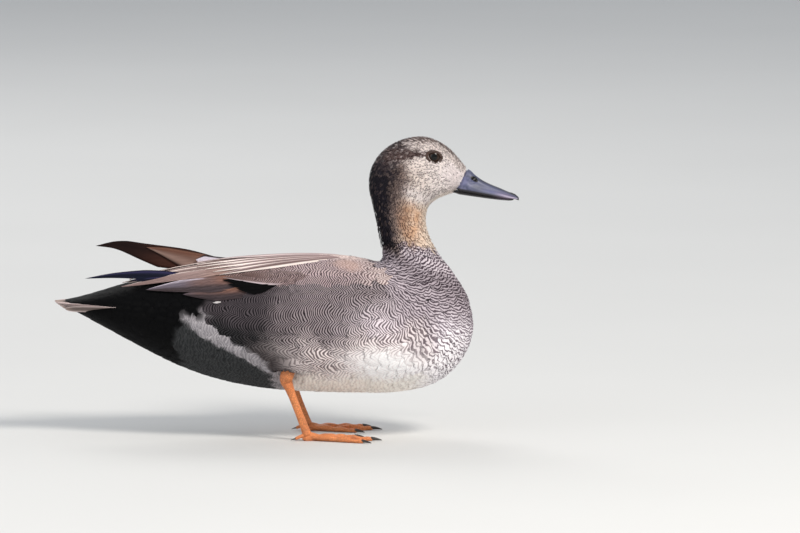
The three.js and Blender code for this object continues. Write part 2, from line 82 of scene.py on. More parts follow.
LOWER_MANDIBLE = [
    (127.2, 184.8, 126.6, 182.2, 7.2), (138, 182.9, 137.4, 180.6, 7.1), (150, 180.9, 149.6, 178.9, 7),
    (160, 179.5, 159.8, 177.8, 6.8), (165.6, 179, 165.4, 177.5, 4.8), (167.6, 178.8, 167.5, 177.8, 2),
]
LAST = len(SECTIONS) - 1
EYE = {"x": 108, "side": 11.7, "z": 211.6, "radius": 4.9, "bulge": 3.8}
NOSTRIL = {"x": 138.2, "z": 194.0, "long": 4.4, "high": 2.2, "slope": .6}
ANKLE = {"x": -3, "side": 36.5, "z": 47, "radius": 4.6}
FOOT = {"x": 13, "side": 32.5, "z": 4.6, "web": 1.3}
TOES = {"outer": (44, 24, 2.2, 6.5), "middle": (47, 2, 2.4, 7), "inner": (38, -23, 2.1, 6.5)}
HIND_TOE = (11, 168, 1.8, 3.6)
TAIL = {"root": -118, "tip": -176.5, "z": 100.4, "root_half": 19, "tip_half": 22, "feathers": 16}

SHIFT = 1000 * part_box("bill_upper")[1][0] - UPPER_MANDIBLE[-1][0]
SIDES = {"right": 1, "left": -1}


def world(points):
    """Points of the solids' layout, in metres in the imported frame."""
    return (np.asarray(points, float) + (SHIFT, 0, 0)) / 1000


# ---- Small maths ----
def ramp(value, low, high):
    """A smooth step from 0 at low to 1 at high, which may also be the smaller one."""
    share = np.clip((value - low) / (high - low), 0, 1)
    return share * share * (3 - 2 * share)


def power(value, exponent):
    return np.sign(value) * np.abs(value) ** exponent


def share_of(turn):
    """How far round a turn is: 0 at the belly, 1 at the back."""
    return np.abs(turn) / math.pi


def circle(count):
    """Angles all round, evenly spread."""
    return np.arange(count) / count * 2 * math.pi


def grid_of(first, second):
    return np.meshgrid(first, second, indexing="ij")


def unit(vectors):
    return vectors / np.maximum(np.linalg.norm(vectors, axis=-1, keepdims=True), 1e-9)


def ripple(points, scale, seed):
    """Smooth noise of about -1 to 1, with features about scale across."""
    random = np.random.default_rng(seed)
    total = 0
    for _ in range(7):
        way = unit(random.normal(size=3)) * random.uniform(.6, 1.5) * 2 * math.pi / scale
        total = total + np.sin(points @ way + random.uniform(0, 2 * math.pi))
    return total / 2.6


def through(points):
    """A centripetal Catmull-Rom curve: a function of the place, counted in points."""
    p = np.asarray(points, float)
    p = np.vstack([2 * p[0] - p[1], p, 2 * p[-1] - p[-2]])
    d = np.maximum(np.sum(np.diff(p, axis=0) ** 2, 1) ** .25, 1e-6)

    def at(place):
        place = np.clip(np.asarray(place, float), 0, len(points) - 1)
        i = np.minimum(place.astype(int), len(points) - 2)
        w = (place - i)[..., None]
        x0, x1, x2, x3 = (p[i + k] for k in range(4))
        d0, d1, d2 = (d[i + k][..., None] for k in range(3))
        m1 = ((x1 - x0) / d0 - (x2 - x0) / (d0 + d1) + (x2 - x1) / d1) * d1
        m2 = ((x2 - x1) / d1 - (x3 - x1) / (d1 + d2) + (x3 - x2) / d2) * d1
        return x1 + m1 * w + (3 * (x2 - x1) - 2 * m1 - m2) * w ** 2 + (2 * (x1 - x2) + m1 + m2) * w ** 3

    return at


# ---- The body's surface ----
back_line = through([(s[0], 0, s[1]) for s in SECTIONS])
belly_line = through([(s[2], 0, s[3]) for s in SECTIONS])
widths = through([(s[4], 100 * s[5], 4 * i) for i, s in enumerate(SECTIONS)])


def surface(t, turn):
    """Points of the solids' surface, rounder over the back than under the belly."""
    t = np.clip(t, 0, LAST)
    back, belly, wide = back_line(t), belly_line(t), widths(t)
    up = back - belly
    height = np.linalg.norm(up, axis=-1)
    up = up / height[..., None]
    low = 1.14 - .19 * ramp(t, 7, 11)
    climb = -np.cos(turn)
    roundness = np.where(climb > 0, .9, low)
    rise = power(climb, roundness)
    widest = wide[..., 1] / 100 * height
    reach = np.where(rise > 0, height - widest, widest)
    point = belly + up * (widest + rise * reach)[..., None]
    point[..., 1] = -power(np.sin(turn), roundness) * wide[..., 0]
    return point


def frame_at(t, turn):
    """Point, outward normal, and the surface's steps along t and round the turn."""
    step = 2e-3
    ahead, behind = np.minimum(t + step, LAST), np.maximum(t - step, 0)
    along = (surface(ahead, turn) - surface(behind, turn)) / (ahead - behind)[..., None]
    around = (surface(t, turn + step) - surface(t, turn - step)) / (2 * step)
    return surface(t, turn), unit(np.cross(along, around)), along, around


def coat_depth(t):
    """How far the skin lies inside the solids."""
    return 1.2 + 1.5 * ramp(t, .5, 4) - 1.55 * ramp(t, 12.5, 16)


def skin_at(t, turn):
    point, normal, _, _ = frame_at(t, turn)
    return point - normal * coat_depth(t)[..., None]


def drift(along, around, way):
    """The steps in t and turn that move a point by way, a vector in the surface."""
    aa, ab, bb = (np.sum(x * y, -1) for x, y in ((along, along), (along, around), (around, around)))
    wa, wb = np.sum(way * along, -1), np.sum(way * around, -1)
    det = np.maximum(aa * bb - ab * ab, 1e-6)
    return (bb * wa - ab * wb) / det, (aa * wb - ab * wa) / det


def bar_period(t):
    """The distance from one dark bar of the plumage to the next."""
    return 2.05 + .5 * ramp(t, 7.4, 9.4) + .3 * ramp(t, 13, 14.2)


def added_up(steps):
    return np.concatenate([[0], np.cumsum(steps)])


def girth_spline():
    """Arc length along the flank, and the bars counted along its lower part."""
    t = np.linspace(0, LAST, 2001)
    flank, lower = [np.linalg.norm(np.diff(surface(t, np.full_like(t, share * math.pi)), axis=0), axis=1)
                    for share in (.42, .3)]
    return t, added_up(flank), added_up(lower / bar_period((t[1:] + t[:-1]) / 2))


GIRTH_T, GIRTH, STRIPES = girth_spline()


# ---- Markings ----
ROWS_ROUND = 15.0  # rows of flank feathers from the belly to the back


def srgb(*values):
    """A colour given as on a screen, 0 to 255, as linear light."""
    v = np.array(values) / 255
    return np.where(v <= .04045, v / 12.92, ((v + .055) / 1.055) ** 2.4)


class Marks:
    """Colours and pattern strengths of a set of points, painted layer by layer: bars, shaft streaks and
    pale fringes; how dark (duty), how wavy and how bowed the bars are; how far they zigzag along the
    body's own rows (chevron); and how much each feather's tint differs."""

    START = dict(stripe=0, streak=0, fringe=0, duty=0, wave=.3, bow=.4, chevron=0, tint=.2)
    LAYERS = {"light": ("light", "chance"), "dark": ("dark", "chance"), "rows": ("row", "chevron", "tint"),
              "kinds": ("stripe", "streak", "fringe"), "bars": ("duty", "wave", "bow")}

    def __init__(self, count, light, dark, **strengths):
        self.of = {name: np.full((count, 1), float(value)) for name, value in self.START.items()}
        self.of.update(light=np.zeros((count, 3)), dark=np.zeros((count, 3)))
        self.paint(1, light, dark, **strengths)

    def paint(self, cover, light=None, dark=None, **strengths):
        """Lays colours and strengths over what is there."""
        cover = np.reshape(np.clip(cover, 0, 1), (-1, 1))
        colours = {name: srgb(*tone) for name, tone in (("light", light), ("dark", dark)) if tone}
        for name, value in {**colours, **strengths}.items():
            self.of[name] += (value - self.of[name]) * cover

    def layers(self, chance, place, turn):
        """The vertex attributes of points with a chance value, a place (phase, u, v) on their feather and
        a turn, which gives the body's own rows that the bars zigzag along."""
        row = share_of(turn)[:, None] * ROWS_ROUND
        of = {**self.of, "chance": chance[:, None], "row": row}
        made = {key: np.hstack([of[name] for name in names]) for key, names in self.LAYERS.items()}
        return {**made, "place": place}


def near(x, y, x0, y0, rx, ry, soft=.35):
    """1 inside an ellipse, falling to 0 past its edge."""
    away = np.sqrt(((x - x0) / rx) ** 2 + ((y - y0) / ry) ** 2)
    return ramp(away, 1 + soft, 1 - soft)


def band(value, low, high, soft):
    return ramp(value, low - soft, low + soft) * ramp(value, high + soft, high - soft)


def mottled(cover, chance, soft=.5):
    """Covers each feather wholly or not at all near an edge, so that colours meet in a mottle."""
    return ramp(cover + soft * (chance - .5) * (cover > 0) * (cover < 1), .35, .65)


def body_marks(paint, t, a, t_w, a_w, wave):
    """The flank darkens behind, and fades forwards to the breast and down to the belly."""
    paint(ramp(t_w, 7.1, 5.8), (81, 74, 78), (20, 17, 20))
    paint(ramp(t_w, 7, 5.6) * ramp(a_w, .56, .46), (48, 47, 49), (12, 12, 13))
    paint(ramp(t_w, 7.4, 9) * ramp(a_w, .68, .52), (230, 218, 224), (112, 100, 107))
    paint(ramp(t_w, 9.2, 10.8), (187, 175, 182), (80, 70, 77), wave=.9, bow=.8, chevron=0, tint=.1)
    paint(ramp(t_w, 12.4, 13.2), (162, 150, 157), (56, 47, 53))
    paint(band(t_w, 10.1, 12, .7) * ramp(a_w, .46, .3), (232, 224, 231), (144, 133, 142))
    paint(ramp(a_w + .025 * wave, .56, .35) * ramp(t_w, 5.8, 6.8) * ramp(t_w, 11.4, 10), (246, 232, 230),
          (116, 102, 104))
    paint(ramp(a_w, .46, .34) * ramp(t_w, 7.2, 8.6) * ramp(t_w, 10.8, 9.6), (255, 254, 254), (238, 228, 229),
          stripe=.5, duty=-.5)
    paint(ramp(a_w, .38, .22) * band(t_w, 9.4, 11.6, .7), (255, 250, 253), (112, 98, 107), duty=-.5, wave=1.4)
    paint(ramp(a_w, .3, .2) * ramp(t_w, 4.4, 5.4) * ramp(t_w, 10.2, 9), (252, 246, 238), (200, 188, 182),
          stripe=.4, chevron=0)
    # A dark patch beside the ankle: darker feathers, with painted shade where the ankle and flank shadow
    # them.
    paint(near(t, a, 6.1, .29, .6, .1, .8), (76, 69, 69), (36, 32, 34), stripe=.45)


def rear_marks(paint, t, a, t_w, a_w, fine, chance):
    """A pale barred band behind the flank, then the grey vent, darkened with painted shade, and the black
    coverts.
    """
    edge = np.interp(a, [.2, .26, .324, .39, .45, .507, .56], [6.5, 6.3, 5.95, 5.52, 5.02, 4.76, 4.7])
    edge = edge + .07 * (chance - .5)
    wide = np.interp(a, [.24, .29, .34, .4, .46], [.25, .38, .5, .8, .62])
    behind = edge - t - .06 * fine
    below = ramp(a, .6, .53)
    paint(ramp(behind, -.09, .09) * below, (188, 182, 185), (98, 94, 100), stripe=.6, streak=.3, bow=1.2,
          wave=1.2, chevron=0)
    # The grey vent, darkened with painted shade.
    paint(ramp(behind, wide - .12, wide + .14) * below, (68, 69, 70), (26, 27, 28), stripe=.7)
    black = np.maximum(ramp(t_w, 4.2, 3.9), ramp(t_w, 4.85, 4.6) * ramp(a_w, .5, .54))
    paint(.6 * black + .4 * mottled(black, chance), (3, 3, 4), (1, 1, 2), stripe=0)


def face_marks(paint, t, a, t_w, a_w, x, z, chance):
    """The neck's fine lines, the speckled neck above them, and a plain pale face, its cheek and
    forehead dashed with fine dark marks. Here a streak's strength is the share of feathers with one."""
    paint(band(t_w, 13.9, 15.1, .5), (217, 205, 212), (82, 70, 79), stripe=1, wave=.7, bow=.4)
    neck = mottled(ramp(t_w, 14.7, 15.3), chance)
    paint(neck, (222, 204, 188), (112, 88, 76), stripe=0, streak=.35, fringe=.1)
    paint(ramp(t_w, 17.2, 18.6), (238, 228, 225), (88, 70, 68), streak=.4, tint=.2)
    paint(ramp(np.hypot((x - 128) / 18, (z - 198) / 13), 1.1, .6), (241, 231, 230), streak=.06)
    paint(ramp(a_w, .2, .08) * ramp(t, 17, 19), (244, 232, 222), streak=.06)
    paint(ramp(t, 18.4, 20) * ramp(x, 112, 84) * ramp(a, .76, .4), (222, 204, 192), (66, 51, 50), streak=.62)


def neck_marks(paint, t, a, wave, fine, chance):
    """Orange-buff on the side of the neck, mottled with brown, and the dark nape down the hindneck."""
    orange = near(t, a, 16.5, .4, 1.2, .2, .6)
    paint(orange * (.66 + .2 * fine), (208, 161, 125), (92, 60, 44), streak=.45)
    paint(.8 * near(t, a, 16.5, .5, 1.5, .12, .5) * (.8 + .2 * fine), (164, 124, 98), (74, 55, 50), streak=.7)
    nape_edge = np.interp(t, [14, 15, 15.8, 16.4, 17.5, 18.5, 19.5, 19.9, 20.3, 21],
                          [.7, .66, .626, .59, .555, .562, .59, .66, .73, .8])
    along = band(t, 13.9, 21, .5)
    paint(ramp(a + .02 * wave, nape_edge - .17, nape_edge) * along, (146, 126, 118), (44, 37, 41), streak=.85)
    nape = ramp(a + .02 * wave, nape_edge - .1, nape_edge + .1) * along
    nape = .55 * nape + .45 * mottled(nape, chance, 1.2)
    paint(nape * np.where(chance > .8, .78, 1), (38, 35, 42), (14, 13, 18), streak=.7)


def crown_marks(paint, t, a, x, z, wave, chance):
    """The dark crown over buff speckles, and the stripe behind the eye."""
    top = ramp(t, 19.4, 20.2)
    crown = ramp(a, .77, .94) * top * ramp(t, 24.8, 22.8)
    paint(top * ramp(a, .64, .72), (228, 216, 212), (76, 60, 59), streak=.5)
    paint(.3 * crown + .7 * mottled(crown, chance, 1.6), (130, 114, 110), (46, 37, 38), streak=.7)
    rear = ramp(x + 2 * wave, 101, 78) * ramp(a, .62, .72) * ramp(t, 18.8, 19.8)
    paint((.4 * rear + .6 * mottled(rear, chance, 1.6)) * np.where(chance > .8, .35, 1), (78, 68, 70),
          (27, 22, 26), streak=.85)
    stripe_z = 213.8 - .0022 * (104 - x) ** 2
    half = 1.2 + .13 * np.maximum(104 - x, 0)
    stripe = ramp(np.abs(z - stripe_z), half + 1.9, half - 1.5) * ramp(x, 104.5, 102) * ramp(x, 64, 76)
    stripe = (.3 * stripe + .7 * mottled(stripe, chance, 1.2)) * ramp(t, 18.8, 19.6)
    paint(stripe * np.where(chance > .78, .55, 1), (98, 82, 80), (34, 25, 27), streak=.85)


def coat_marks(t, turn, point, chance):
    """The coat's markings, with a_w and t_w for edges that waver."""
    a, x, z = share_of(turn), point[:, 0], point[:, 2]
    wave, fine = ripple(point, scale=26, seed=3), ripple(point, scale=7, seed=4)
    a_w, t_w = a + .014 * wave + .01 * fine, t + .14 * wave + .08 * fine
    marks = Marks(len(t), (152, 140, 143), (38, 32, 36), stripe=1, wave=.4, bow=0, chevron=2.1, tint=.06)
    body_marks(marks.paint, t, a, t_w, a_w, wave)
    rear_marks(marks.paint, t, a, t_w, a_w, fine, chance)
    face_marks(marks.paint, t, a, t_w, a_w, x, z, chance)
    neck_marks(marks.paint, t, a, wave, fine, chance)
    crown_marks(marks.paint, t, a, x, z, wave, chance)
    return marks


# ---- Meshes ----
def add_layers(mesh, layers):
    """Colours with a chance value, or three numbers, for each point."""
    for key, values in layers.items():
        kind, field = ("FLOAT_COLOR", "color") if values.shape[1] == 4 else ("FLOAT_VECTOR", "vector")
        layer = mesh.attributes.new(key, kind, "POINT")
        layer.data.foreach_set(field, values.astype(np.float32).ravel())


def mesh_piece(name, points, faces, layers=(), uv=None):
    """An object from points in the solids' layout and faces, triangles or quads with the same count."""
    faces = np.asarray(faces, np.int32)
    count, corners = faces.shape
    mesh = bpy.data.meshes.new(name)
    mesh.vertices.add(len(points))
    mesh.vertices.foreach_set("co", world(points).astype(np.float32).ravel())
    mesh.loops.add(count * corners)
    mesh.loops.foreach_set("vertex_index", faces.ravel())
    mesh.polygons.add(count)
    mesh.polygons.foreach_set("loop_start", np.arange(0, count * corners, corners, dtype=np.int32))
    mesh.polygons.foreach_set("use_smooth", np.ones(count, bool))
    mesh.update(calc_edges=True)
    mesh.validate()
    add_layers(mesh, dict(layers))
    if uv is not None:
        layer = mesh.uv_layers.new(name="OFBake")
        layer.data.foreach_set("uv", uv[faces.ravel()].astype(np.float32).ravel())
    piece = bpy.data.objects.new(name, mesh)
    bpy.context.scene.collection.objects.link(piece)
    return piece


def dress(piece, material, nodes=(), slot=None):
    """Gives a piece its material and its body, and hides the nodes that it stands for. The slot is not used.
    """
    piece.data.materials.append(material)
    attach(piece, "root")
    if nodes:
        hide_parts(*nodes)


def grid_faces(rows, columns, wrap=False):
    """The quads of a grid of points, row after row."""
    i = np.arange(rows - 1)[:, None]
    j = np.arange(columns if wrap else columns - 1)[None]
    k = (j + 1) % columns
    quads = np.stack([i * columns + j, i * columns + k, (i + 1) * columns + k, (i + 1) * columns + j], -1)
    return quads.reshape(-1, 4)


# ---- The coat ----
TRIES = 3.2  # places tried for each feather's own area


def scatter(spacing, inside, seed):
    """Roots spread evenly over the body, at least spacing apart, where inside allows them."""
    random = np.random.default_rng(seed)
    rows, columns = 500, 240
    middles = (np.arange(rows) + .5) / rows * LAST
    t, turn = grid_of(middles, circle(columns) + math.pi / columns - math.pi)
    t, turn = t.ravel(), turn.ravel()
    point, _, along, around = frame_at(t, turn)
    area = np.linalg.norm(np.cross(along, around), axis=-1)
    weight = np.where(inside(t, turn), area / spacing(t, turn) ** 2, 0)
    tries = int(TRIES * weight.sum() * (LAST / rows) * (2 * math.pi / columns))
    pick = random.choice(len(t), tries, p=weight / weight.sum())
    t = t[pick] + random.uniform(-.5, .5, tries) * LAST / rows
    turn = turn[pick] + random.uniform(-.5, .5, tries) * 2 * math.pi / columns
    point, gap = surface(t, turn), spacing(t, turn)
    cells = np.floor(point / gap.max()).astype(int)
    beside = [(i, j, k) for i in (-1, 0, 1) for j in (-1, 0, 1) for k in (-1, 0, 1)]
    taken, kept = {}, []
    for index, ((a, b, c), (x, y, z), room) in enumerate(zip(cells.tolist(), point.tolist(), gap.tolist())):
        others = (spot for i, j, k in beside for spot in taken.get((a + i, b + j, c + k), ()))
        if all((px - x) ** 2 + (py - y) ** 2 + (pz - z) ** 2 >= room * room for px, py, pz in others):
            taken.setdefault((a, b, c), []).append((x, y, z))
            kept.append(index)
    return t[kept], turn[kept]


def walk(t, turn, length, heading, steps):
    """Lines of steps + 1 stations that run from each root over the surface, along the coat's lie."""
    ts, turns, laterals = [], [], []
    for _ in range(steps + 1):
        ts.append(t)
        turns.append(turn)
        _, normal, along, around = frame_at(t, turn)
        rearward = -unit(along)
        across = np.cross(normal, rearward)
        way = rearward * np.cos(heading)[:, None] + across * np.sin(heading)[:, None]
        laterals.append(drift(along, around, np.cross(normal, way)))
        dt, dturn = drift(along, around, way)
        t = t + dt * length / steps
        turn = turn + dturn * length / steps
    return np.array(ts).T, np.array(turns).T, np.array(laterals).transpose(2, 0, 1)


def stretch(t, turn, far_t, far_turn, steps):
    """Stations from each root straight to a given tip, with the ways across at each of them."""
    s = np.linspace(0, 1, steps + 1)[None]
    ts = t[:, None] + (far_t - t)[:, None] * s
    turns = turn[:, None] + (far_turn - turn)[:, None] * s
    point, normal, along, around = frame_at(ts, turns)
    way = unit(np.gradient(point, axis=1))
    laterals = np.stack(drift(along, around, np.cross(normal, way)), -1)
    return ts, turns, laterals, np.linalg.norm(np.diff(point, axis=1), axis=-1).sum(1)


def vane_outline(v, widest=.6, root=.3, point=2.2):
    """Half width along a vane: narrow at its root, full, then rounded or drawn to a point."""
    rise = root + (1 - root) * np.sin(np.clip(v / widest, 0, 1) * math.pi / 2)
    fall = np.clip((v - widest) / (1 - widest), 0, 1)
    return rise * np.sqrt(np.maximum(1 - fall ** point, .0006))


def bar_phase(t, a, v, length, at_t, at_a):
    """The count of bars at each point of the feathers whose roots are at (t, a). The bars keep to the
    body's own count on the flank, and to each feather's length elsewhere."""
    low = ramp(a, .49, .39)
    own = np.maximum(ramp(t, 8.4, 9.6), np.maximum(low, ramp(a, .77, .8)))[:, None, None]
    coarse = low * ramp(t, 12.4, 11)
    period = bar_period(t) * (1 + .45 * coarse + .5 * coarse * ramp(t, 9, 10.5))
    by_feather = np.interp(t, GIRTH_T, STRIPES)[:, None, None] - v * (length / period)[:, None, None]
    arcs = 260 * np.minimum(at_a - .47, .2) ** 2 * ramp(at_t, 7.6, 5.4) * (at_t > 4)
    return (np.interp(at_t, GIRTH_T, STRIPES) - arcs) * (1 - own) + by_feather * own


def vanes(t, turn, length, width, rows, columns, seed, base=.25, proud=.1, camber=.06, lift=0.0,
          heading=0.0, swing=.1, ragged=.05, droop=.3, far=None, **shape):
    """Feathers over the body: their points and, for each one, where every point lies on the body.
    They rise from base over the skin to the solids' surface, and stand proud of it towards their
    tips, where their rims droop onto the feathers below.
    `far` gives the t and turn of their tips, where they don't follow the coat's lie."""
    random = np.random.default_rng(seed)
    count = len(t)
    length = length * random.uniform(.88, 1.12, count)
    width = width * random.uniform(.9, 1.1, count)
    heading = heading * np.sign(turn) + random.normal(0, swing, count)
    if far is None:
        ts, turns, laterals = walk(t, turn, length, heading, rows - 1)
    else:
        ts, turns, laterals, length = stretch(t, turn, *far, rows - 1)
    v = np.linspace(0, 1, rows)[None, :, None]
    u = np.linspace(-1, 1, columns)[None, None, :]
    half = width[:, None, None] / 2 * vane_outline(v, **shape)
    # The tip's barbs part: each column ends a little short of the next.
    split = random.uniform(0, ragged, (count, 1, columns)) * v ** 4
    at_t, at_turn = [middle[:, :, None] + laterals[..., k][:, :, None] * u * half
                     for k, middle in enumerate((ts, turns))]
    at_t = at_t + (ts[:, :1, None] - at_t) * split
    at_turn = at_turn + (turns[:, :1, None] - at_turn) * split
    depth = coat_depth(at_t)
    base = np.reshape(base, (-1, 1, 1))
    rise = base + (depth - base + proud) * v - camber * half * np.abs(u) ** 2
    rise = rise - droop * np.maximum(ramp(v, .7, 1), ramp(np.abs(u), .45, 1) * v)
    rise = rise + random.uniform(-.07, .07, (count, 1, 1)) * v + np.reshape(lift, (-1, 1, 1))
    point, normal, _, _ = frame_at(at_t, at_turn)
    point = point + normal * (np.maximum(rise, .08) - depth)[..., None]
    whole = (count, rows, columns)
    return {
        "point": point, "t": at_t, "turn": at_turn, "u": np.broadcast_to(u, whole),
        "v": np.broadcast_to(v, whole), "root": (t, turn), "chance": random.uniform(0, 1, count),
        "phase": bar_phase(t, share_of(turn), v, length, at_t, share_of(at_turn)),
        "mid": (ts[:, int(.7 * rows)], turns[:, int(.7 * rows)]),
    }


def unwrap(t, turn, span):
    """The coat's unwrap: arc length along the body and round it, within the span (t low, t high)."""
    arc = np.interp(t, GIRTH_T, GIRTH)
    low, high = np.interp(span, GIRTH_T, GIRTH)
    mean_half = widths(np.array([(span[0] + span[1]) / 2]))[0, 0]
    size = 1.04 * max(high - low, 2 * math.pi * mean_half)
    return np.stack([(arc - low) / size + .02, turn * mean_half / size + .5], -1)


BLEND = .7  # how far the markings vary within a feather


def coat_piece(name, vane, span, marks_of=coat_marks, patch=.0034, nodes=(), slot=None, streaked=False):
    """One piece of the coat from a set of vanes. In a streaked piece some feathers have a whole dark
    streak and the others none. Elsewhere the markings blend from feather to feather."""
    count, rows, columns = vane["u"].shape
    per = rows * columns
    chance = np.repeat(vane["chance"], per)
    mid_t, mid_turn = vane["mid"]
    if streaked:
        marks = marks_of(mid_t, mid_turn, surface(mid_t, mid_turn), vane["chance"])
        dice = np.random.default_rng(0).uniform(0, 1, (count, 1))
        marks.of["streak"] = np.where(dice < marks.of["streak"], 1.25, .04)
        marks.of = {key: np.repeat(values, per, 0) for key, values in marks.of.items()}
    else:
        mid_t, mid_turn = [(middle[:, None, None] + BLEND * (full - middle[:, None, None])).ravel()
                           for middle, full in ((mid_t, vane["t"]), (mid_turn, vane["turn"]))]
        marks = marks_of(mid_t, mid_turn, surface(mid_t, mid_turn), chance)
    phase = vane["phase"] + .1 * (vane["chance"][:, None, None] - .5)
    place = np.stack([phase, vane["u"], vane["v"]], -1).reshape(-1, 3)
    faces = (grid_faces(rows, columns)[None] + per * np.arange(count)[:, None, None]).reshape(-1, 4)
    root = unwrap(*vane["root"], span)[:, None, None]
    uv = root + np.stack([vane["v"] - .5, vane["u"] / 2], -1) * patch
    piece = mesh_piece(name, vane["point"].reshape(-1, 3), faces,
                       marks.layers(chance, place, vane["turn"].ravel()), uv.reshape(-1, 2))
    dress(piece, plumage, nodes, slot)


# ---- Materials ----
class Value:
    """A shader value, on which + - * / make math nodes."""

    def __init__(self, nodes, socket):
        self.nodes, self.socket = nodes, socket

    def __add__(self, other):
        return self.nodes.math("ADD", self, other)

    def __sub__(self, other):
        return self.nodes.math("SUBTRACT", self, other)

    def __rsub__(self, other):
        return self.nodes.math("SUBTRACT", other, self)

    def __mul__(self, other):
        return self.nodes.math("MULTIPLY", self, other)

    def __truediv__(self, other):
        return self.nodes.math("DIVIDE", self, other)


class Nodes:
    """A short way to write a node tree."""

    def __init__(self, name):
        self.material = bpy.data.materials.new(name)
        self.material.use_nodes = True
        self.tree = self.material.node_tree

    def link(self, source, socket):
        if isinstance(source, Value):
            self.tree.links.new(source.socket, socket)
        elif source is not None:
            socket.default_value = source

    def add(self, kind, inputs, output=0, **settings):
        """A node's output. Its inputs are given in order, or by name or number."""
        node = self.tree.nodes.new(kind)
        for key, value in settings.items():
            setattr(node, key, value)
        for key, value in inputs.items() if isinstance(inputs, dict) else enumerate(inputs):
            self.link(value, node.inputs[key])
        return Value(self, node.outputs[output])

    def math(self, operation, *inputs, clamp=False):
        return self.add("ShaderNodeMath", inputs, operation=operation, use_clamp=clamp)

    def size(self, value):
        return self.math("ABSOLUTE", value)

    def mix(self, factor, a, b, blend="MIX"):
        a, b = [(*tone, 1) if isinstance(tone, tuple) else tone for tone in (a, b)]
        return self.add("ShaderNodeMix", {0: factor, 6: a, 7: b}, 2, data_type="RGBA", blend_type=blend)

    def step(self, value, low, high):
        return self.add("ShaderNodeMapRange", (value, low, high), interpolation_type="SMOOTHSTEP")

    def vector(self, *parts):
        return self.add("ShaderNodeCombineXYZ", parts)

    def attribute(self, name, output):
        return self.add("ShaderNodeAttribute", (), output, attribute_name=name)

    def parts(self, vector):
        node = self.tree.nodes.new("ShaderNodeSeparateXYZ")
        self.link(vector, node.inputs[0])
        return [Value(self, output) for output in node.outputs]

    def noise(self, scale, detail=2.0, vector=None):
        return self.add("ShaderNodeTexNoise", {"Vector": vector or self.place(), "Scale": scale,
                                               "Detail": detail})

    def place(self, stretch=None):
        place = self.add("ShaderNodeTexCoord", (), "Object")
        return self.add("ShaderNodeMapping", {0: place, 3: stretch}) if stretch else place

    def done(self, color, roughness, gloss, height=None, distance=.0002, strength=.8):
        """The material, with a bump from the height where there is one."""
        bump = {"Height": height, "Distance": distance, "Strength": strength}
        normal = self.add("ShaderNodeBump", bump) if height else None
        given = {"Base Color": color, "Roughness": roughness, "Specular IOR Level": gloss, "Normal": normal}
        for key, value in given.items():
            self.link(value, self.tree.nodes["Principled BSDF"].inputs[key])
        return self.material


BARBS = 26.0  # lines of barbs along a feather


def plumage_material():
    n = Nodes("plumage")
    light, chance = n.attribute("light", "Color"), n.attribute("light", "Alpha")
    dark = n.attribute("dark", "Color")
    stripe, streak, fringe = n.parts(n.attribute("kinds", "Vector"))
    duty, wave, crescent = n.parts(n.attribute("bars", "Vector"))
    phase, u, v = n.parts(n.attribute("place", "Vector"))
    row, chevron, tinting = n.parts(n.attribute("rows", "Vector"))
    side = n.size(u)
    # Bars that run across the body, bowed on each feather and wavy.
    wobble = (n.noise(260.0) - .5) * 1.5 + (n.noise(90.0, 1.0) - .5) * 1.2
    bow = n.math("POWER", side, 2.0) * crescent
    row = row + n.noise(45.0) * 1.4
    zigzag = n.size(n.math("FRACT", row) * 2.0 - 1.0)
    turns = phase - bow - n.math("POWER", zigzag, 1.4) * chevron + wobble * wave
    bars = n.math("SINE", turns * (2 * math.pi))
    width = (n.noise(300.0, 1.0) - .5) * (wave * 1.6)
    bars = n.step(bars + width + duty, -.5, .5) * stripe
    # A dark streak down the middle of each feather.
    core = n.step(side, .62, .2) * n.step(v, .25, .5) * n.step(v, 1.0, .86) * streak
    color = n.mix(n.math("MAXIMUM", bars, core, clamp=True), light, dark)
    # Pale fringes, the barbs' own lines, and a tint of its own for each feather.
    rim = n.math("MAXIMUM", n.step(side, .72, .98), n.step(v, .86, 1.0))
    color = n.mix(rim * fringe, color, n.mix(1.0, light, (1.5, 1.45, 1.4), "MULTIPLY"))
    hair = n.math("SINE", (v - side * .45) * (2 * math.pi * BARBS))
    barb = n.noise(1.0, 2.0, n.vector(v * 45.0 - side * 16.0, side * 1.5, chance * 40.0)) - .5
    tint = (chance - .5 + barb * 4.0) * tinting + hair * .03 + 1.0
    color = n.mix(1.0, color, n.vector(tint, tint, tint), "MULTIPLY")
    return n.done(color, n.noise(90.0) * .12 + .56, gloss=.07, height=hair, distance=.00012, strength=.5)


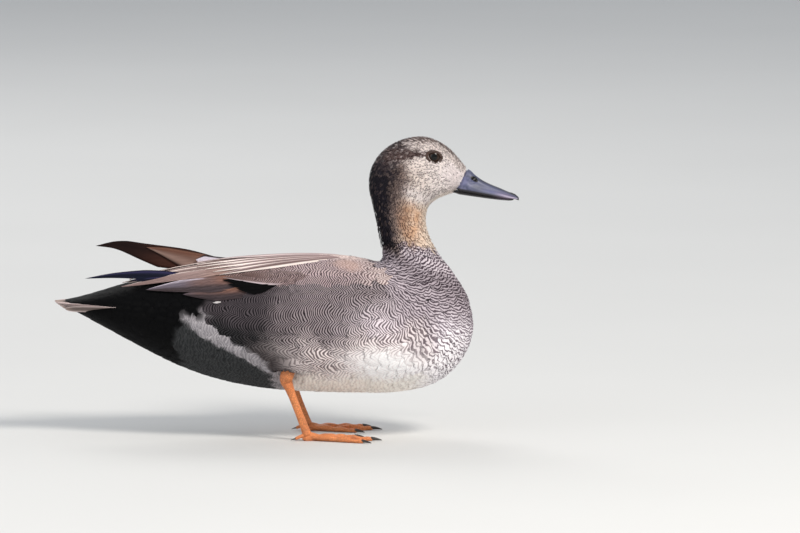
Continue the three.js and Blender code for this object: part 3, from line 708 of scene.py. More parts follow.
def bill_material():
    n = Nodes("bill_horn")
    x, y, z = n.parts(n.place())
    # Where a point lies between the gape and the culmen, which slope down along the bill.
    x, z, side = x * 1000.0 - SHIFT, z * 1000.0, n.size(y)
    low = 206.6 - x * .163
    share = (z - low) / (258.6 - x * .456 - low)
    slate = n.mix(n.noise(180.0, 3.0), (.04, .046, .082), (.07, .077, .13))
    # A painted sheen: a paler blue band along the side, fainter high up on the fore part.
    upper = n.step(share, .3, .6) * n.step(x, 143.0, 153.0)
    painted_sheen = n.step(share, .12, .32) * n.step(share, .9, .64) * (1.0 - upper * .6)
    painted_sheen = painted_sheen * n.step(n.noise(120.0, 2.0, n.place((.3, 1, 1))), .25, .7)
    color = n.mix(painted_sheen * .65, slate, (.15, .155, .3))
    base = n.step(x, 140.0, 130.0) * n.step(n.noise(420.0, 3.0), .35, .6)
    color = n.mix(base * .45, color, (.2, .2, .32))
    color = n.mix(n.step(share, .8, 1.0) * n.step(x, 138.0, 146.0), color, (.035, .034, .045))
    # Dark below the gape line: the lower mandible's own dark, with painted shade along the mouth's edge under
    # the upper mandible.
    color = n.mix(n.step(share, .15, .04), color, (.014, .012, .014))
    # Towards the tip a painted lilac highlight, and a painted glint low on the side.
    fore = n.step(x, 150.0, 164.0)
    color = n.mix(fore * n.step(side, .004, .0075) * .45, color, (.18, .13, .2))
    color = n.mix(n.step(share, .1, .24) * n.step(share, .5, .3) * fore * .6, color, (.5, .44, .55))
    # Painted shade in the nostril's opening.
    cos, sin = math.cos(NOSTRIL["slope"]), math.sin(NOSTRIL["slope"])
    dx, dz = x - NOSTRIL["x"], z - NOSTRIL["z"]
    long = (dx * cos + dz * -sin) / (NOSTRIL["long"] / 2 + .7)
    high = (dx * sin + dz * cos) / (NOSTRIL["high"] / 2 + .35)
    color = n.mix(n.step(long * long + high * high, 1.5, .8), color, (.004, .004, .005))
    nail = n.step(x, 164.5, 166.0) * n.step(side, .0048, .0032)
    color = n.mix(nail * .85, color, (.02, .018, .02))
    grain = n.noise(900.0, 3.0, n.place((.45, 1, 1)))
    return n.done(color, n.noise(260.0) * .18 + .36, gloss=.35, height=grain, distance=.00008, strength=.35)


def eye_material():
    n = Nodes("eye_gloss")
    x, _, z = n.parts(n.place())
    dx, dz = x - (EYE["x"] + SHIFT) / 1000, z - EYE["z"] / 1000
    away = n.math("SQRT", dx * dx + dz * dz)
    iris = n.mix(n.noise(2600.0), (.014, .007, .004), (.034, .015, .008))
    color = n.mix(n.step(away, .0023, .0026), (.002, .002, .002), iris)
    color = n.mix(n.step(away, .0041, .0046), color, (.006, .004, .004))
    return n.done(color, roughness=.04, gloss=.28)


def skin_tone(name, deep, pale, scale, roughness, bump=.0002, cells=True, dusk=None):
    """Bare scaly skin or horn."""
    n = Nodes(name)
    color = n.mix(n.noise(60.0, 3.0), deep, pale)
    if dusk:
        color = n.mix(n.step(n.noise(110.0, 4.0), .48, .7) * .55, color, dusk)
    if cells:
        cell = n.add("ShaderNodeTexVoronoi", {"Vector": n.place(), "Scale": scale}, "Distance",
                     feature="DISTANCE_TO_EDGE")
        plates = n.step(cell, .02, .2)
        color = n.mix((1.0 - plates) * .4, color, (.16, .05, .02))
    else:
        plates = n.noise(scale, 3.0, n.place((.3, 1, 1)))
    return n.done(color, roughness, gloss=.4, height=plates, distance=bump)


plumage = plumage_material()
horn = bill_material()
eye_gloss = eye_material()
leg_skin = skin_tone("leg_skin", (.64, .17, .05), (.86, .33, .12), 640.0, .45, dusk=(.36, .12, .05))
claw_horn = skin_tone("claw_horn", (.02, .016, .014), (.05, .04, .035), 500.0, .35, cells=False)
lid_skin = skin_tone("lid_skin", (.016, .012, .011), (.034, .026, .023), 2200.0, .5, .0001)


# ---- Skin ----
def tube_points(centres, radii, squash, steps, around):
    """Rings along a smooth line through the centres."""
    places = np.linspace(0, len(centres) - 1, steps)
    line = through(centres)
    along = unit(line(places + 1e-2) - line(places - 1e-2))
    size = np.interp(places, range(len(radii)), radii)[:, None, None]
    flat = np.interp(places, range(len(squash)), squash)[:, None, None]
    first = unit(np.cross(np.broadcast_to((0, 1, 0), along.shape), along))
    second = np.cross(along, first)
    turn = circle(around)[None, :, None]
    ring = np.cos(turn) * first[:, None] * size + np.sin(turn) * second[:, None] * (size * flat)
    return line(places)[:, None] + ring


def closed_tube(name, rings):
    """An object from rings of points, with a fan over each end."""
    rows, columns = rings.shape[:2]
    points = np.concatenate([rings.reshape(-1, 3), rings[:1].mean(1), rings[-1:].mean(1)])
    j, base = np.arange(columns), (rows - 1) * columns
    first, last = [np.full(columns, rows * columns + k) for k in (0, 1)]
    after = (j + 1) % columns
    caps = [np.stack([first, after, j], -1), np.stack([last, base + j, base + after], -1)]
    quads = grid_faces(rows, columns, wrap=True)
    return mesh_piece(name, points, np.concatenate([quads[:, [0, 1, 2]], quads[:, [0, 2, 3]], *caps]))


def apply(piece, kind, **settings):
    """Adds a modifier and makes its result the piece's own mesh."""
    modifier = piece.modifiers.new(kind.lower(), kind)
    for key, value in settings.items():
        setattr(modifier, key, value)
    graph = bpy.context.evaluated_depsgraph_get()
    graph.update()
    mesh = bpy.data.meshes.new_from_object(piece.evaluated_get(graph))
    piece.modifiers.clear()
    old = piece.data
    piece.data = mesh
    bpy.data.meshes.remove(old)
    mesh.name = piece.name
    mesh.polygons.foreach_set("use_smooth", np.ones(len(mesh.polygons), bool))


def melt(target, others, voxel):
    """Joins pieces and gives them one smooth surface, with no material yet."""
    pieces = [target, *others]
    with bpy.context.temp_override(active_object=target, selected_editable_objects=pieces, object=target,
                                   selected_objects=pieces):
        bpy.ops.object.join()
    apply(target, "REMESH", mode="VOXEL", voxel_size=voxel)
    apply(target, "SMOOTH", factor=.5, iterations=3)
    target.data.materials.clear()


def coordinates(piece):
    flat = np.empty(len(piece.data.vertices) * 3, np.float32)
    piece.data.vertices.foreach_get("co", flat)
    return flat.reshape(-1, 3).astype(float) * 1000 - (SHIFT, 0, 0)


THIGH = [(0, 15), (.3, 14.5), (.55, 13), (.75, 10.5), (.9, 8.6), (1, 6.4)]  # places along it and radii
THIGH_SUNK = 1.6  # how far its skin lies inside the solid


def thigh_rings(sign):
    inside = np.array([24, (5 - ANKLE["side"]) * sign, 70.0])
    end = np.array([ANKLE["x"] + 4.4, (1 - ANKLE["side"]) * sign, ANKLE["z"] + 4.5])
    centres = [inside + (end - inside) * share for share, _ in THIGH]
    radii = [radius - THIGH_SUNK for _, radius in THIGH]
    return tube_points(centres, radii, [.85] * len(THIGH), steps=16, around=24)


def nearest_place(points):
    """The t and turn of the surface point nearest to each point, from a fine table."""
    t, turn = grid_of(np.linspace(0, LAST, 420), np.linspace(-math.pi, math.pi, 201)[:-1])
    t, turn = t.ravel(), turn.ravel()
    tree = KDTree(len(t))
    for index, place in enumerate(surface(t, turn).tolist()):
        tree.insert(place, index)
    tree.balance()
    found = np.array([tree.find(place)[1] for place in points.tolist()])
    return t[found], turn[found]


def build_skin():
    skin = closed_tube("skin", skin_at(*grid_of(np.linspace(.02, LAST, 260), circle(120) - math.pi)))
    melt(skin, [closed_tube("thigh_skin", thigh_rings(sign)) for sign in SIDES.values()], voxel=.0016)
    points = coordinates(skin)
    t, turn = nearest_place(points)
    ones = np.ones(len(t))
    marks = coat_marks(t, turn, points, .5 * ones)
    place = np.stack([np.interp(t, GIRTH_T, STRIPES), 0 * ones, .5 * ones], -1)
    add_layers(skin.data, marks.layers(.4 * ones, place, turn))
    dress(skin, plumage, ("trunk", "neck", "head", "tail", "thigh_right", "thigh_left"), "breast_feather")


build_skin()


# ---- Contour feathers ----
EYE_TILT = math.radians(-18)


def turned(x, y, angle):
    """A flat turn of x and y."""
    return x * math.cos(angle) - y * math.sin(angle), x * math.sin(angle) + y * math.cos(angle)


def eye_clear(t, turn):
    """How far a place lies outside the eyelids, as a share of their size."""
    point = surface(t, turn)
    long, high = turned(point[..., 0] - EYE["x"] - .4, point[..., 2] - EYE["z"] - .5, -EYE_TILT)
    return np.sqrt((long / 6.4) ** 2 + (high / 4.2) ** 2)


def shield_edge(t):
    """The lower edge of the scapulars, as a share of the turn."""
    return np.interp(t, [5.2, 5.7, 6.3, 6.9, 7.6, 8.4, 10.5, 11.8],
                     [.77, .736, .721, .712, .718, .73, .728, .73])


def body_spacing(t, turn):
    flank = band(t, 5.2, 9.4, .8) * ramp(share_of(turn), .2, .3)
    return 4.4 + .9 * flank - 2.0 * ramp(t, 12.2, 14.4) + .6 * ramp(t, 4.5, 2)


def build_body_coat():
    def inside(t, turn):
        shielded = (share_of(turn) > shield_edge(t) + .07) & (t > 6.2) & (t < 11.6)
        return (t > .9) & (t < 14.6) & ~shielded

    t, turn = scatter(body_spacing, inside, seed=11)
    for seed, (name, low, high, span, long, slot) in enumerate([
            ("coat_rear", 0, 4.6, (0, 5.4), 3.6, "breast_feather"),
            ("coat_flank", 4.6, 8.8, (2.5, 9.4), 3.6, "flank_feather"),
            ("coat_breast", 8.8, LAST, (6, 15.2), 3.5, "breast_feather")]):
        mine = (t >= low) & (t < high)
        gap = body_spacing(t[mine], turn[mine])
        made = vanes(t[mine], turn[mine], long * gap, 2.7 * gap, rows=10, columns=8, seed=20 + seed,
                     widest=.62, ragged=.04, swing=.06, droop=.14, base=coat_depth(t[mine]) * .62)
        coat_piece(name, made, span, slot=slot)


def head_spacing(t, turn):
    point = surface(t, turn)
    away = np.hypot(point[..., 0] - EYE["x"], point[..., 2] - EYE["z"])
    finer = .75 * ramp(t, 14.5, 17) + .2 * ramp(t, 22, 24.5)
    return 1.9 - finer - .15 * ramp(away, 13, 8) * ramp(t, 19.5, 20.5)


def build_head_coat():
    def inside(t, turn):
        return (t > 14.5) & (t < 24.93) & ((eye_clear(t, turn) > 1.0) | (t < 19))

    t, turn = scatter(head_spacing, inside, seed=12)
    gap = head_spacing(t, turn)
    length = 2.5 * gap
    # A feather in front of the eye ends short of its lids.
    ts, turns, _ = walk(t, turn, length * 1.15, np.zeros(len(t)), 4)
    blocked = (eye_clear(ts, turns) < 1.0) & (ts > 19)
    reach = np.where(blocked.any(1), blocked.argmax(1) / 4, 1)
    length = length * np.where(reach < 1, .8 * reach, 1)
    for seed, (name, low, high, span) in enumerate([
            ("coat_neck", 0, 18.4, (13.2, 19)), ("coat_head", 18.4, LAST, (16.5, LAST))]):
        mine = (reach > .2) & (t >= low) & (t < high)
        full = .9 * band(t[mine], 14.2, 16.6, .9) * ramp(share_of(turn[mine]), .72, .95)
        made = vanes(t[mine], turn[mine], length[mine], 1.35 * gap[mine], rows=5, columns=4, seed=30 + seed,
                     base=.12, proud=.05, lift=full, widest=.5, ragged=.2, swing=.14, droop=.15)
        coat_piece(name, made, span, slot="head_feather", streaked=True)


build_body_coat()
build_head_coat()


# ---- Long feathers ----
def blade(axis, out, half_right, half_left, v, thick=.5, camber=.1):
    """A closed vane along an axis: `out` is the way out of its face at each station, at v. Returns its
    points, faces and (u, v) of every point."""
    rows, columns = len(axis), 13
    along = unit(np.gradient(axis, axis=0))
    across = unit(np.cross(along, out))[:, None]
    out = np.cross(across[:, 0], along)[:, None]
    u = np.linspace(-1, 1, columns)[None]
    far = np.abs(u)
    half = np.where(u > 0, half_right[:, None], half_left[:, None])
    # Barbs lean towards the tip.
    lean = far ** 1.5 * half * .45 * (1 - v[:, None] ** 4)
    base = axis[:, None] + across * (u * half)[..., None] - out * (camber * half * far ** 2)[..., None]
    base = base + along[:, None] * lean[..., None]
    web = thick * (1 - .75 * far ** 3) / 2
    quill = .35 * np.exp(-(u / .08) ** 2) * (1 - v[:, None] * .7)
    points = [base + out * (web + quill)[..., None], base - out * (web + quill * .6)[..., None]]
    quads = grid_faces(rows, columns)
    count, end = rows * columns, columns - 1
    left, first = np.arange(rows - 1) * columns, np.arange(end)
    right, last = left + end, first + (rows - 1) * columns
    rims = [(left, left + columns, left + columns + count, left + count),
            (right, right + count, right + columns + count, right + columns),
            (first, first + count, first + 1 + count, first + 1),
            (last, last + 1, last + 1 + count, last + count)]
    faces = np.concatenate([quads, quads[:, ::-1] + count, *[np.stack(rim, -1) for rim in rims]])
    at_u, at_v = [np.tile(np.broadcast_to(share, (rows, columns)).ravel(), 2) for share in (u, v[:, None])]
    return np.concatenate(points).reshape(-1, 3), faces, at_u, at_v


def long_piece(name, blades, slot, paint, nodes=(), first=0):
    """One piece from several blades. paint(k, u, v, point) gives blade k's marks and its bars' phase."""
    points, faces, uvs, layers, start = [], [], [], [], 0
    for k, (point, quads, u, v) in enumerate(blades):
        marks, phase = paint(k + first, u, v, point)
        layers.append(marks.layers(np.full(len(u), (k * .37) % 1), np.stack([phase, u, v], -1), 0 * u))
        points.append(point)
        faces.append(quads + start)
        under = np.repeat([0, 1], len(u) // 2)
        uvs.append(np.stack([.02 + .96 * v, (k + .03 + .45 * (u + 1) / 2 + .5 * under) / len(blades)], -1))
        start += len(u)
    layers = {key: np.concatenate([made[key] for made in layers]) for key in layers[0]}
    piece = mesh_piece(name, np.concatenate(points), np.concatenate(faces), layers, np.concatenate(uvs))
    dress(piece, plumage, nodes, slot)


def taper(s, share, root, sharp=.85):
    """Half width along a long feather that narrows evenly over the last part of its length."""
    return (root + (1 - root) * ramp(s, 0, .35)) * np.minimum(1, (1 - s) / share) ** sharp


def long_feather(place, upper, lower, share=(.5, .5), root=.4, camber=.1, sharp=.85):
    """A feather along a path: place(s) gives its axis and the way out of its face."""
    s = np.linspace(0, 1, 30)
    halves = upper * taper(s, share[0], root), lower * taper(s, share[1], root, sharp)
    return blade(*place(s), *halves, s, camber=camber)


def laid(root, tip, lifts, rising=.5, bend=0.0):
    """A path over the body, from one (t, share of the turn) to another."""
    def place(s):
        t = root[0] + (tip[0] - root[0]) * s
        turn = math.pi * (root[1] + (tip[1] - root[1]) * s + bend * np.sin(math.pi * s))
        point, normal, _, _ = frame_at(t, turn)
        return point + normal * (lifts[0] + (lifts[1] - lifts[0]) * s ** rising)[:, None], normal
    return place


def in_air(points, facing):
    """A path through points off the body."""
    line = through(points)(np.linspace(0, len(points) - 1, 200))
    run = added_up(np.linalg.norm(np.diff(line, axis=0), axis=1))

    def place(s):
        axis = np.stack([np.interp(s * run[-1], run, line[:, k]) for k in range(3)], -1)
        return axis, np.broadcast_to(unit(np.array(facing, float)), axis.shape)
    return place


def mirrored(blades):
    return [(point * (1, -1, 1), quads[:, ::-1], u, v) for point, quads, u, v in blades]


def tertial_marks(k, u, v, point):
    """The lowest tertials are dark brown, the next has a silver upper edge, the upper two are pinkish."""
    x = point[:, 0]
    marks = Marks(len(u), (172, 148, 144), (108, 86, 82), stripe=.55, wave=.8, streak=.5, fringe=0, tint=.3)
    paint = marks.paint
    paint(ramp(u, .3, .5), (232, 214, 207), streak=0)
    paint(ramp(u, .2, -.6), (140, 118, 114))
    if k < 2:
        paint(1, (118, 94, 91), (90, 71, 68), streak=.2)
        paint(ramp(x, -66, -84), (112, 103, 114), (88, 80, 88))
        paint(ramp(u, -.05, -.6), (70, 60, 62), (50, 43, 45))
        paint(ramp(x, -62, -44) * ramp(u, -.6, .2), (140, 100, 84), (110, 76, 62))
        if k:
            paint(ramp(u, .45, .7) * ramp(x, -62, -70), (206, 194, 206), streak=0)
        else:
            paint(ramp(u, .1, .6) * ramp(x, -58, -70), (84, 72, 74), (62, 52, 54))
    else:
        paint(ramp(x, -72, -52), (152, 126, 118), (112, 88, 80))
    if k > 2:
        paint(band(u, -.55, -.35, .1), (112, 90, 86), (96, 76, 72))
        paint(ramp(u, -.55, -.72), (228, 209, 201), (228, 209, 201))
    return marks, u * 2.6 + v


def primary_marks(k, u, v, point):
    """Far wing: a very dark outer feather, a browner one over it, a white-tipped one. Near wing: indigo, with
    a painted violet sheen over its upper half.
    """
    marks = Marks(len(u), (70, 43, 36), (36, 23, 22), stripe=0, streak=.5, tint=.15)
    paint = marks.paint
    paint(ramp(v, .35, .75), (36, 23, 21), (24, 15, 15))
    if k == 1:
        paint(1, (122, 86, 72), (88, 58, 48))
        paint(ramp(u, .1, -.5), (146, 120, 110), (112, 88, 80))
        paint(ramp(u, -.75, -.97) * ramp(v, .3, .5), (40, 26, 25))
    if k == 2:
        paint(1, (60, 48, 52), (40, 32, 36), streak=.2)
        paint(ramp(v, .46, .58) * ramp(u, .88, .66), (222, 214, 226), (196, 186, 200))
    if k > 2:
        paint(1, (24, 28, 44), (18, 18, 30), streak=.4)
        # Painted sheen: the upper half lighter violet.
        paint(ramp(u, .1, .7), (50, 48, 80))
    paint(ramp(u, .72, .95), (14, 11, 13), (10, 8, 10))
    return marks, v * 10


def tail_marks(k, u, v, point):
    marks = Marks(len(u), (148, 132, 126), (86, 76, 74), stripe=0, streak=.6, fringe=.8)
    marks.paint(ramp(np.abs(u), .6, 1), (206, 190, 190))
    return marks, v * 10


# Root and tip as (t, share of the turn), the half widths above and below the shaft, the lift at either
# end, and the shares of the length over which each half narrows.
TERTIALS = [
    ((6.5, .725), (4.15, .66), (7, 8), (-2.4, .9), (.5, .4)),
    ((6.3, .775), (3.07, .718), (6, 10), (-2.3, 1.9), (.4, .6)),
    ((6.2, .875), (2.26, .815), (5.5, 8), (-1.6, 2.2), (.45, .6)),
    ((6.2, .91), (2.5, .872), (5, 5), (-1.6, 2.2), (.45, .6)),
    ((6.2, .95), (2.85, .93), (5, 4.2), (-1.6, 2.2), (.45, .6)),
]
# The same off the body, with points along each axis and no lift.
FAR_WING = [
    ([[-48, 19, 130], [-75, 17, 136], [-108, 13, 141], [-130, 10, 144], [-146, 8, 142.4]], (2.6, 14),
     (.25, .55)),
    ([[-46, 18.4, 129.5], [-76, 16, 135], [-108, 12, 141]], (2.6, 12), (.25, .6)),
    ([[-26, 16, 127.2], [-50, 15, 128.6], [-71, 14, 131.4]], (4.4, 7), (.15, .2)),
]
NEAR_TIPS = [
    ([[-60, -20, 120], [-100, -16, 122.6], [-130, -13, 122.2], [-153.5, -11, 119.8]], (4, 4.6), (.5, .75)),
    ([[-60, -21, 117.4], [-95, -18, 119.6], [-120, -14, 119]], (3, 3.4), (.5, .5)),
]


def build_tail():
    count = TAIL["feathers"]
    made = []
    for across in (2 * np.arange(count) + 1) / count - 1:
        root = np.array([TAIL["root"], across * TAIL["root_half"], TAIL["z"] - 3 + 1.2 * (1 - abs(across))])
        tip = np.array([TAIL["tip"] + 9 * across ** 2, across * TAIL["tip_half"],
                        TAIL["z"] + 1.4 - 4 * across ** 2])
        s = np.linspace(0, 1, 22)
        axis = root + (tip - root) * s[:, None]
        out = unit(np.array([0, -.5 * across, 1.0]))
        half = 6.4 * vane_outline(s, widest=.7, root=.45, point=2.4)
        made.append(blade(axis, np.broadcast_to(out, axis.shape), half, half, s, thick=.4, camber=.08))
    long_piece("tail_feathers", made, "wing_feather", tail_marks)


def build_wings():
    tertials = [long_feather(laid(root, tip, lifts), *halves, share=shares, root=.3, camber=.11)
                for root, tip, halves, lifts, shares in TERTIALS]
    left = [long_feather(in_air(path, (0, -1, 0)), *halves, share=shares, camber=.03, sharp=1.0)
            for path, halves, shares in FAR_WING]
    right = [long_feather(in_air(path, (0, -1, .3)), *halves, share=shares, camber=.05)
             for path, halves, shares in NEAR_TIPS]
    for side, made in (("right", tertials), ("left", mirrored(tertials))):
        long_piece(f"tertial_feathers_{side}", made, "tertial_feather", tertial_marks, (f"tertials_{side}",))
    for side, made, first in (("left", left, 0), ("right", right, len(FAR_WING))):
        long_piece(f"primary_feathers_{side}", made, "primary_feather", primary_marks, (f"primaries_{side}",),
                   first)


build_wings()
build_tail()


# ---- Scapulars and coverts, over the folded wing ----
def scapular_marks(t, turn, point, chance):
    a = share_of(turn)
    wave = ripple(point, scale=18, seed=8)
    marks = Marks(len(t), (188, 169, 170), (84, 69, 72), stripe=1, wave=.6, bow=0, chevron=1.6, tint=.06)
    paint = marks.paint
    paint(ramp(t, 7, 5.6), (140, 116, 112), (78, 62, 61))
    paint(.5 * ramp(a - shield_edge(t), .07, .02) * ramp(t, 5.8, 6.4), (158, 142, 144), (58, 48, 52))
    paint(.7 * near(t, a, 8.2, .88, .6, .06) * (.8 + .2 * wave), (190, 162, 152), (146, 118, 110), stripe=.5)
    paint(ramp(t, 8, 10), (210, 194, 190), (122, 102, 102))
    # Painted light: the feathers along the top of the back are lighter, as if lit from above.
    paint(.8 * ramp(a, .9, .97) * ramp(t, 9.5, 8), (226, 206, 199), (170, 146, 140), stripe=.4)
    paint(ramp(t, 11, 12), (206, 192, 194), (84, 72, 78))
    return marks


def long_scapular_marks(k, u, v, point):
    """Brown centres, a thin dark line and a cream edge."""
    marks = Marks(len(u), (190, 169, 169), (136, 112, 110), stripe=0, streak=.6, tint=.25)
    paint = marks.paint
    paint(band(u, -.5, -.12, .1), (112, 88, 84), (94, 72, 68))
    paint(ramp(u, -.36 - .16 * (k == 0), -.5 - .16 * (k == 0)), (244, 229, 222), (244, 229, 222), streak=0)
    paint(ramp(u, .3, .8), (216, 198, 196))
    return marks, v * 10


def low_scapular_marks(k, u, v, point):
    """Finely barred brown, with a pale lower edge."""
    marks = Marks(len(u), (152, 132, 131), (60, 46, 48), stripe=1, wave=1.3, bow=1.4, tint=.12)
    marks.paint(ramp(v, .5, .85), (112, 91, 87), (76, 59, 57), stripe=.5)
    marks.paint(ramp(u, -.66, -.86) * ramp(v, .3, .5) * k, (196, 180, 184), stripe=0)
    return marks, v * 40


def covert_marks(k, u, v, point):
    """Black, but for the last, which shows white under them."""
    marks = Marks(len(u), (2, 2, 3), (1, 1, 2), stripe=0, streak=.2)
    marks.paint(k == len(BLACK_COVERTS), (214, 208, 208), (190, 184, 184))
    return marks, v * 10


# Root, tip and half width, with the path's bend before it for the black coverts.
LONG_SCAPULARS = [
    ((7.8, .955), (5.05, .795), 5.4), ((7.8, .965), (4.9, .825), 5.2), ((7.7, .975), (4.7, .86), 5),
    ((7.6, .985), (4.5, .9), 5), ((7.3, .993), (4.5, .94), 5),
]
BLACK_COVERTS = [
    ((6.26, .722), (5.45, .69), -.018, 3.4), ((6.3, .728), (5.25, .72), -.014, 4),
    ((6.32, .74), (5.12, .75), -.008, 4.4),
]
LOW_SCAPULARS = [((7.3, .785), (5.5, .782), 5.6), ((7.2, .763), (5.14, .764), 5.2)]


def build_scapulars():
    def spacing(t, turn):
        return np.full(np.shape(t), 4.7)

    def inside(t, turn):
        a = share_of(turn)
        return (a > shield_edge(t) + .03) & (t > 5.9 - .4 * ramp(a, .84, .78)) & (t < 12.4)

    t, turn = scatter(spacing, inside, seed=13)
    for side, sign in SIDES.items():
        mine = turn * sign > 0
        ones = np.ones(mine.sum())
        fore = vanes(t[mine], turn[mine], 18.0 * ones, 11.5 * ones, rows=12, columns=9, seed=72, base=2.0,
                     proud=.5, swing=.05, heading=.05, droop=.2)
        coat_piece(f"scapulars_{side}", fore, (3, 13.5), scapular_marks, .006, (f"wing_{side}",),
                   "wing_feather")
    long = [long_feather(laid(root, tip, (-.5, 1.25 + .15 * k)), half, half, root=.5, camber=.13)
            for k, (root, tip, half) in enumerate(LONG_SCAPULARS)]
    low = [long_feather(laid(root, tip, (-1.7, 2.3), .6, -.014), half, half, root=.5, camber=.12)
           for root, tip, half in LOW_SCAPULARS]
    black = [long_feather(laid(root, tip, (-.5, 1.7), .5, bend), half, half, root=.5, camber=.12)
             for root, tip, bend, half in BLACK_COVERTS]
    black.append(long_feather(laid((5.08, .617), (4.9, .609), (-.2, .8)), .8, .8, root=.6))
    for side, turned_to in (("right", lambda blades: blades), ("left", mirrored)):
        for name, blades, paint in (("long_scapulars", long, long_scapular_marks),
                                    ("low_scapulars", low, low_scapular_marks),
                                    ("black_coverts", black, covert_marks)):
            long_piece(f"{name}_{side}", turned_to(blades), "covert_feather", paint)


build_scapulars()


# ---- Feathers over the ankle ----
def build_cuffs():
    """Feathers that leave the body over each ankle and hang round its top."""
    count = 44
    for side, sign in SIDES.items():
        random = np.random.default_rng(95 + sign)
        across = random.uniform(-1, 1, count)
        row = random.uniform(0, 1, count)
        root = .335 - .03 * across ** 2 + .02 * row
        tip = .295 - .045 * across ** 2 + .01 * row
        ones = np.ones(count)
        made = vanes(6.52 + .62 * across, root * math.pi * sign, ones, 6.5 * ones, rows=10, columns=7,
                     seed=96, base=1.6, proud=5.2 - 3.4 * across[:, None, None] ** 2, ragged=.2, camber=.1,
                     far=(6.5 + .3 * across, tip * math.pi * sign), root=.5, point=1.8)
        coat_piece(f"ankle_cuff_{side}", made, (4, 9), slot="breast_feather")


build_cuffs()


# ---- Bill ----
def mandible_points(sections, widest, rows, columns):
    place = np.linspace(0, len(sections) - 1, rows)
    high = through([(s[0], s[4], s[1]) for s in sections])(place)
    low = through([(s[2], 0, s[3]) for s in sections])(place)
    half = high[:, 1].copy()
    high[:, 1] = 0
    turn = circle(columns)
    rise = -np.cos(turn)
    height = np.where(rise < 0, widest * (1 + rise), widest + rise * (1 - widest))
    points = low[:, None] + (high - low)[:, None] * height[None, :, None]
    points[..., 1] = half[:, None] * power(np.sin(turn), .8)[None]
    return points, place[:, None] / (len(sections) - 1), height[None], turn[None]


def horn_piece(name, points, back):
    """The horn with rings before its base, which run back into the head's skin."""
    base = points[0]
    middle = base.mean(0)
    rings = [middle + (base - middle) * (1 - .4 * s ** .6) + np.array(back) * s for s in (1, .7, .4, .2, .08)]
    dress(closed_tube(f"{name}_horn", np.concatenate([rings, points])), horn, (name,), "bill_horn")


def build_bill():
    points, along, height, turn = mandible_points(UPPER_MANDIBLE, widest=0, rows=150, columns=96)
    x, y, z = (points[..., k] for k in range(3))
    upper = ramp(height, .02, .12)
    # The sides are hollowed beside the culmen, and the edge over the mouth is swollen.
    hollow = .55 * band(height, .45, .8, .16) * ramp(along, .95, .6) * ramp(along, 0, .12)
    y *= 1 - hollow * .22
    y *= 1 + .035 * band(height, .06, .22, .08) * ramp(along, .05, .2)
    # Nostrils sink into the sides, with a raised rim.
    long, high = turned(x - NOSTRIL["x"], z - NOSTRIL["z"], -NOSTRIL["slope"])
    away = np.hypot(long / (NOSTRIL["long"] / 2 + .5), high / (NOSTRIL["high"] / 2 + .35))
    y -= np.sign(y) * (1.9 * ramp(away, 1.15, .55) - .32 * band(away, 1.2, 1.6, .25)) * upper
    # The comb of the mouth's edge.
    comb = .12 * np.sin(x * 2 * math.pi / 1.3) * band(height, .0, .07, .04) * band(along, .12, .8, .1)
    y += np.sign(y) * comb * np.abs(np.sin(turn))
    # The culmen sinks to the forehead's feathers.
    z -= 1.1 * ramp(x, 136.4, 133.8) * ramp(height, .5, 1)
    # The nail at the tip.
    nail = ramp(np.hypot((x - 169.2) / 4.4, y / 3.1), 1.1, .85) * upper
    z += .35 * nail - .75 * ramp(x, 168.4, 171.4)
    horn_piece("bill_upper", points, (-7, 0, 1.5))
    lower, _, _, _ = mandible_points(LOWER_MANDIBLE, widest=1, rows=90, columns=56)
    horn_piece("bill_lower", lower, (-6, 0, 1))


build_bill()


# ---- Eyes ----
def side_of_head(x, z):
    """How far out the head's skin lies at places near an eye."""
    point = skin_at(*grid_of(np.linspace(20, 24.5, 150), np.linspace(.3, .95, 150) * math.pi)).reshape(-1, 3)
    away = (point[:, 0] - x[..., None]) ** 2 + (point[:, 2] - z[..., None]) ** 2
    return np.abs(point[away.argmin(-1), 1])


# From the lids' opening, where they roll in, out to where they sink into the coat.
LID_STEPS = [-.08, -.03, 0, .03, .08, .15, .22, .3, .38, .46, .54, .62, .7, .78, .86, .93, 1]


def eyeball_rings():
    """Rings round the axis that points out of the head."""
    polar = np.linspace(.02, math.pi - .02, 40)[:, None]
    turn = circle(64)[None]
    return np.stack([EYE["x"] + EYE["radius"] * np.sin(polar) * np.cos(turn),
                     -EYE["side"] - EYE["bulge"] * np.cos(polar) * np.ones_like(turn),
                     EYE["z"] + EYE["radius"] * np.sin(polar) * np.sin(turn)], -1)


def eyelid_rings():
    """An almond opening whose rim stands up over the ball, with lids that slope down into the coat."""
    steps = np.array(LID_STEPS)[:, None]
    theta = circle(96)[None]
    inner = .35 + 4.4 * np.cos(theta) * (1 + .06 * np.abs(np.cos(theta)) ** 6), 3.45 * np.sin(theta)
    outer = 7.3 * np.cos(theta), 5.2 * np.sin(theta)
    flat = [low + (high - low) * np.clip(steps, 0, 1) for low, high in zip(inner, outer)]
    across, up = turned(*flat, EYE_TILT)
    away = np.hypot(across, up) / EYE["radius"]
    dome = EYE["side"] + EYE["bulge"] * np.sqrt(np.clip(1 - away ** 2, 0, 1))
    at_rim = dome[2:3]
    x, z = EYE["x"] + across, EYE["z"] + up
    skin = side_of_head(x, z)
    level = at_rim + (skin + .75 - at_rim) * ramp(steps, 0, .7)
    level = np.maximum(level, skin + .45) - 1.4 * ramp(steps, .7, 1)
    level = np.maximum(level, np.where(away < 1, dome + .3, 0)) + .55 * np.exp(-((steps - .04) / .09) ** 2)
    return np.stack([x, -np.where(steps < 0, at_rim + .45 + 7 * steps, level), z], -1)


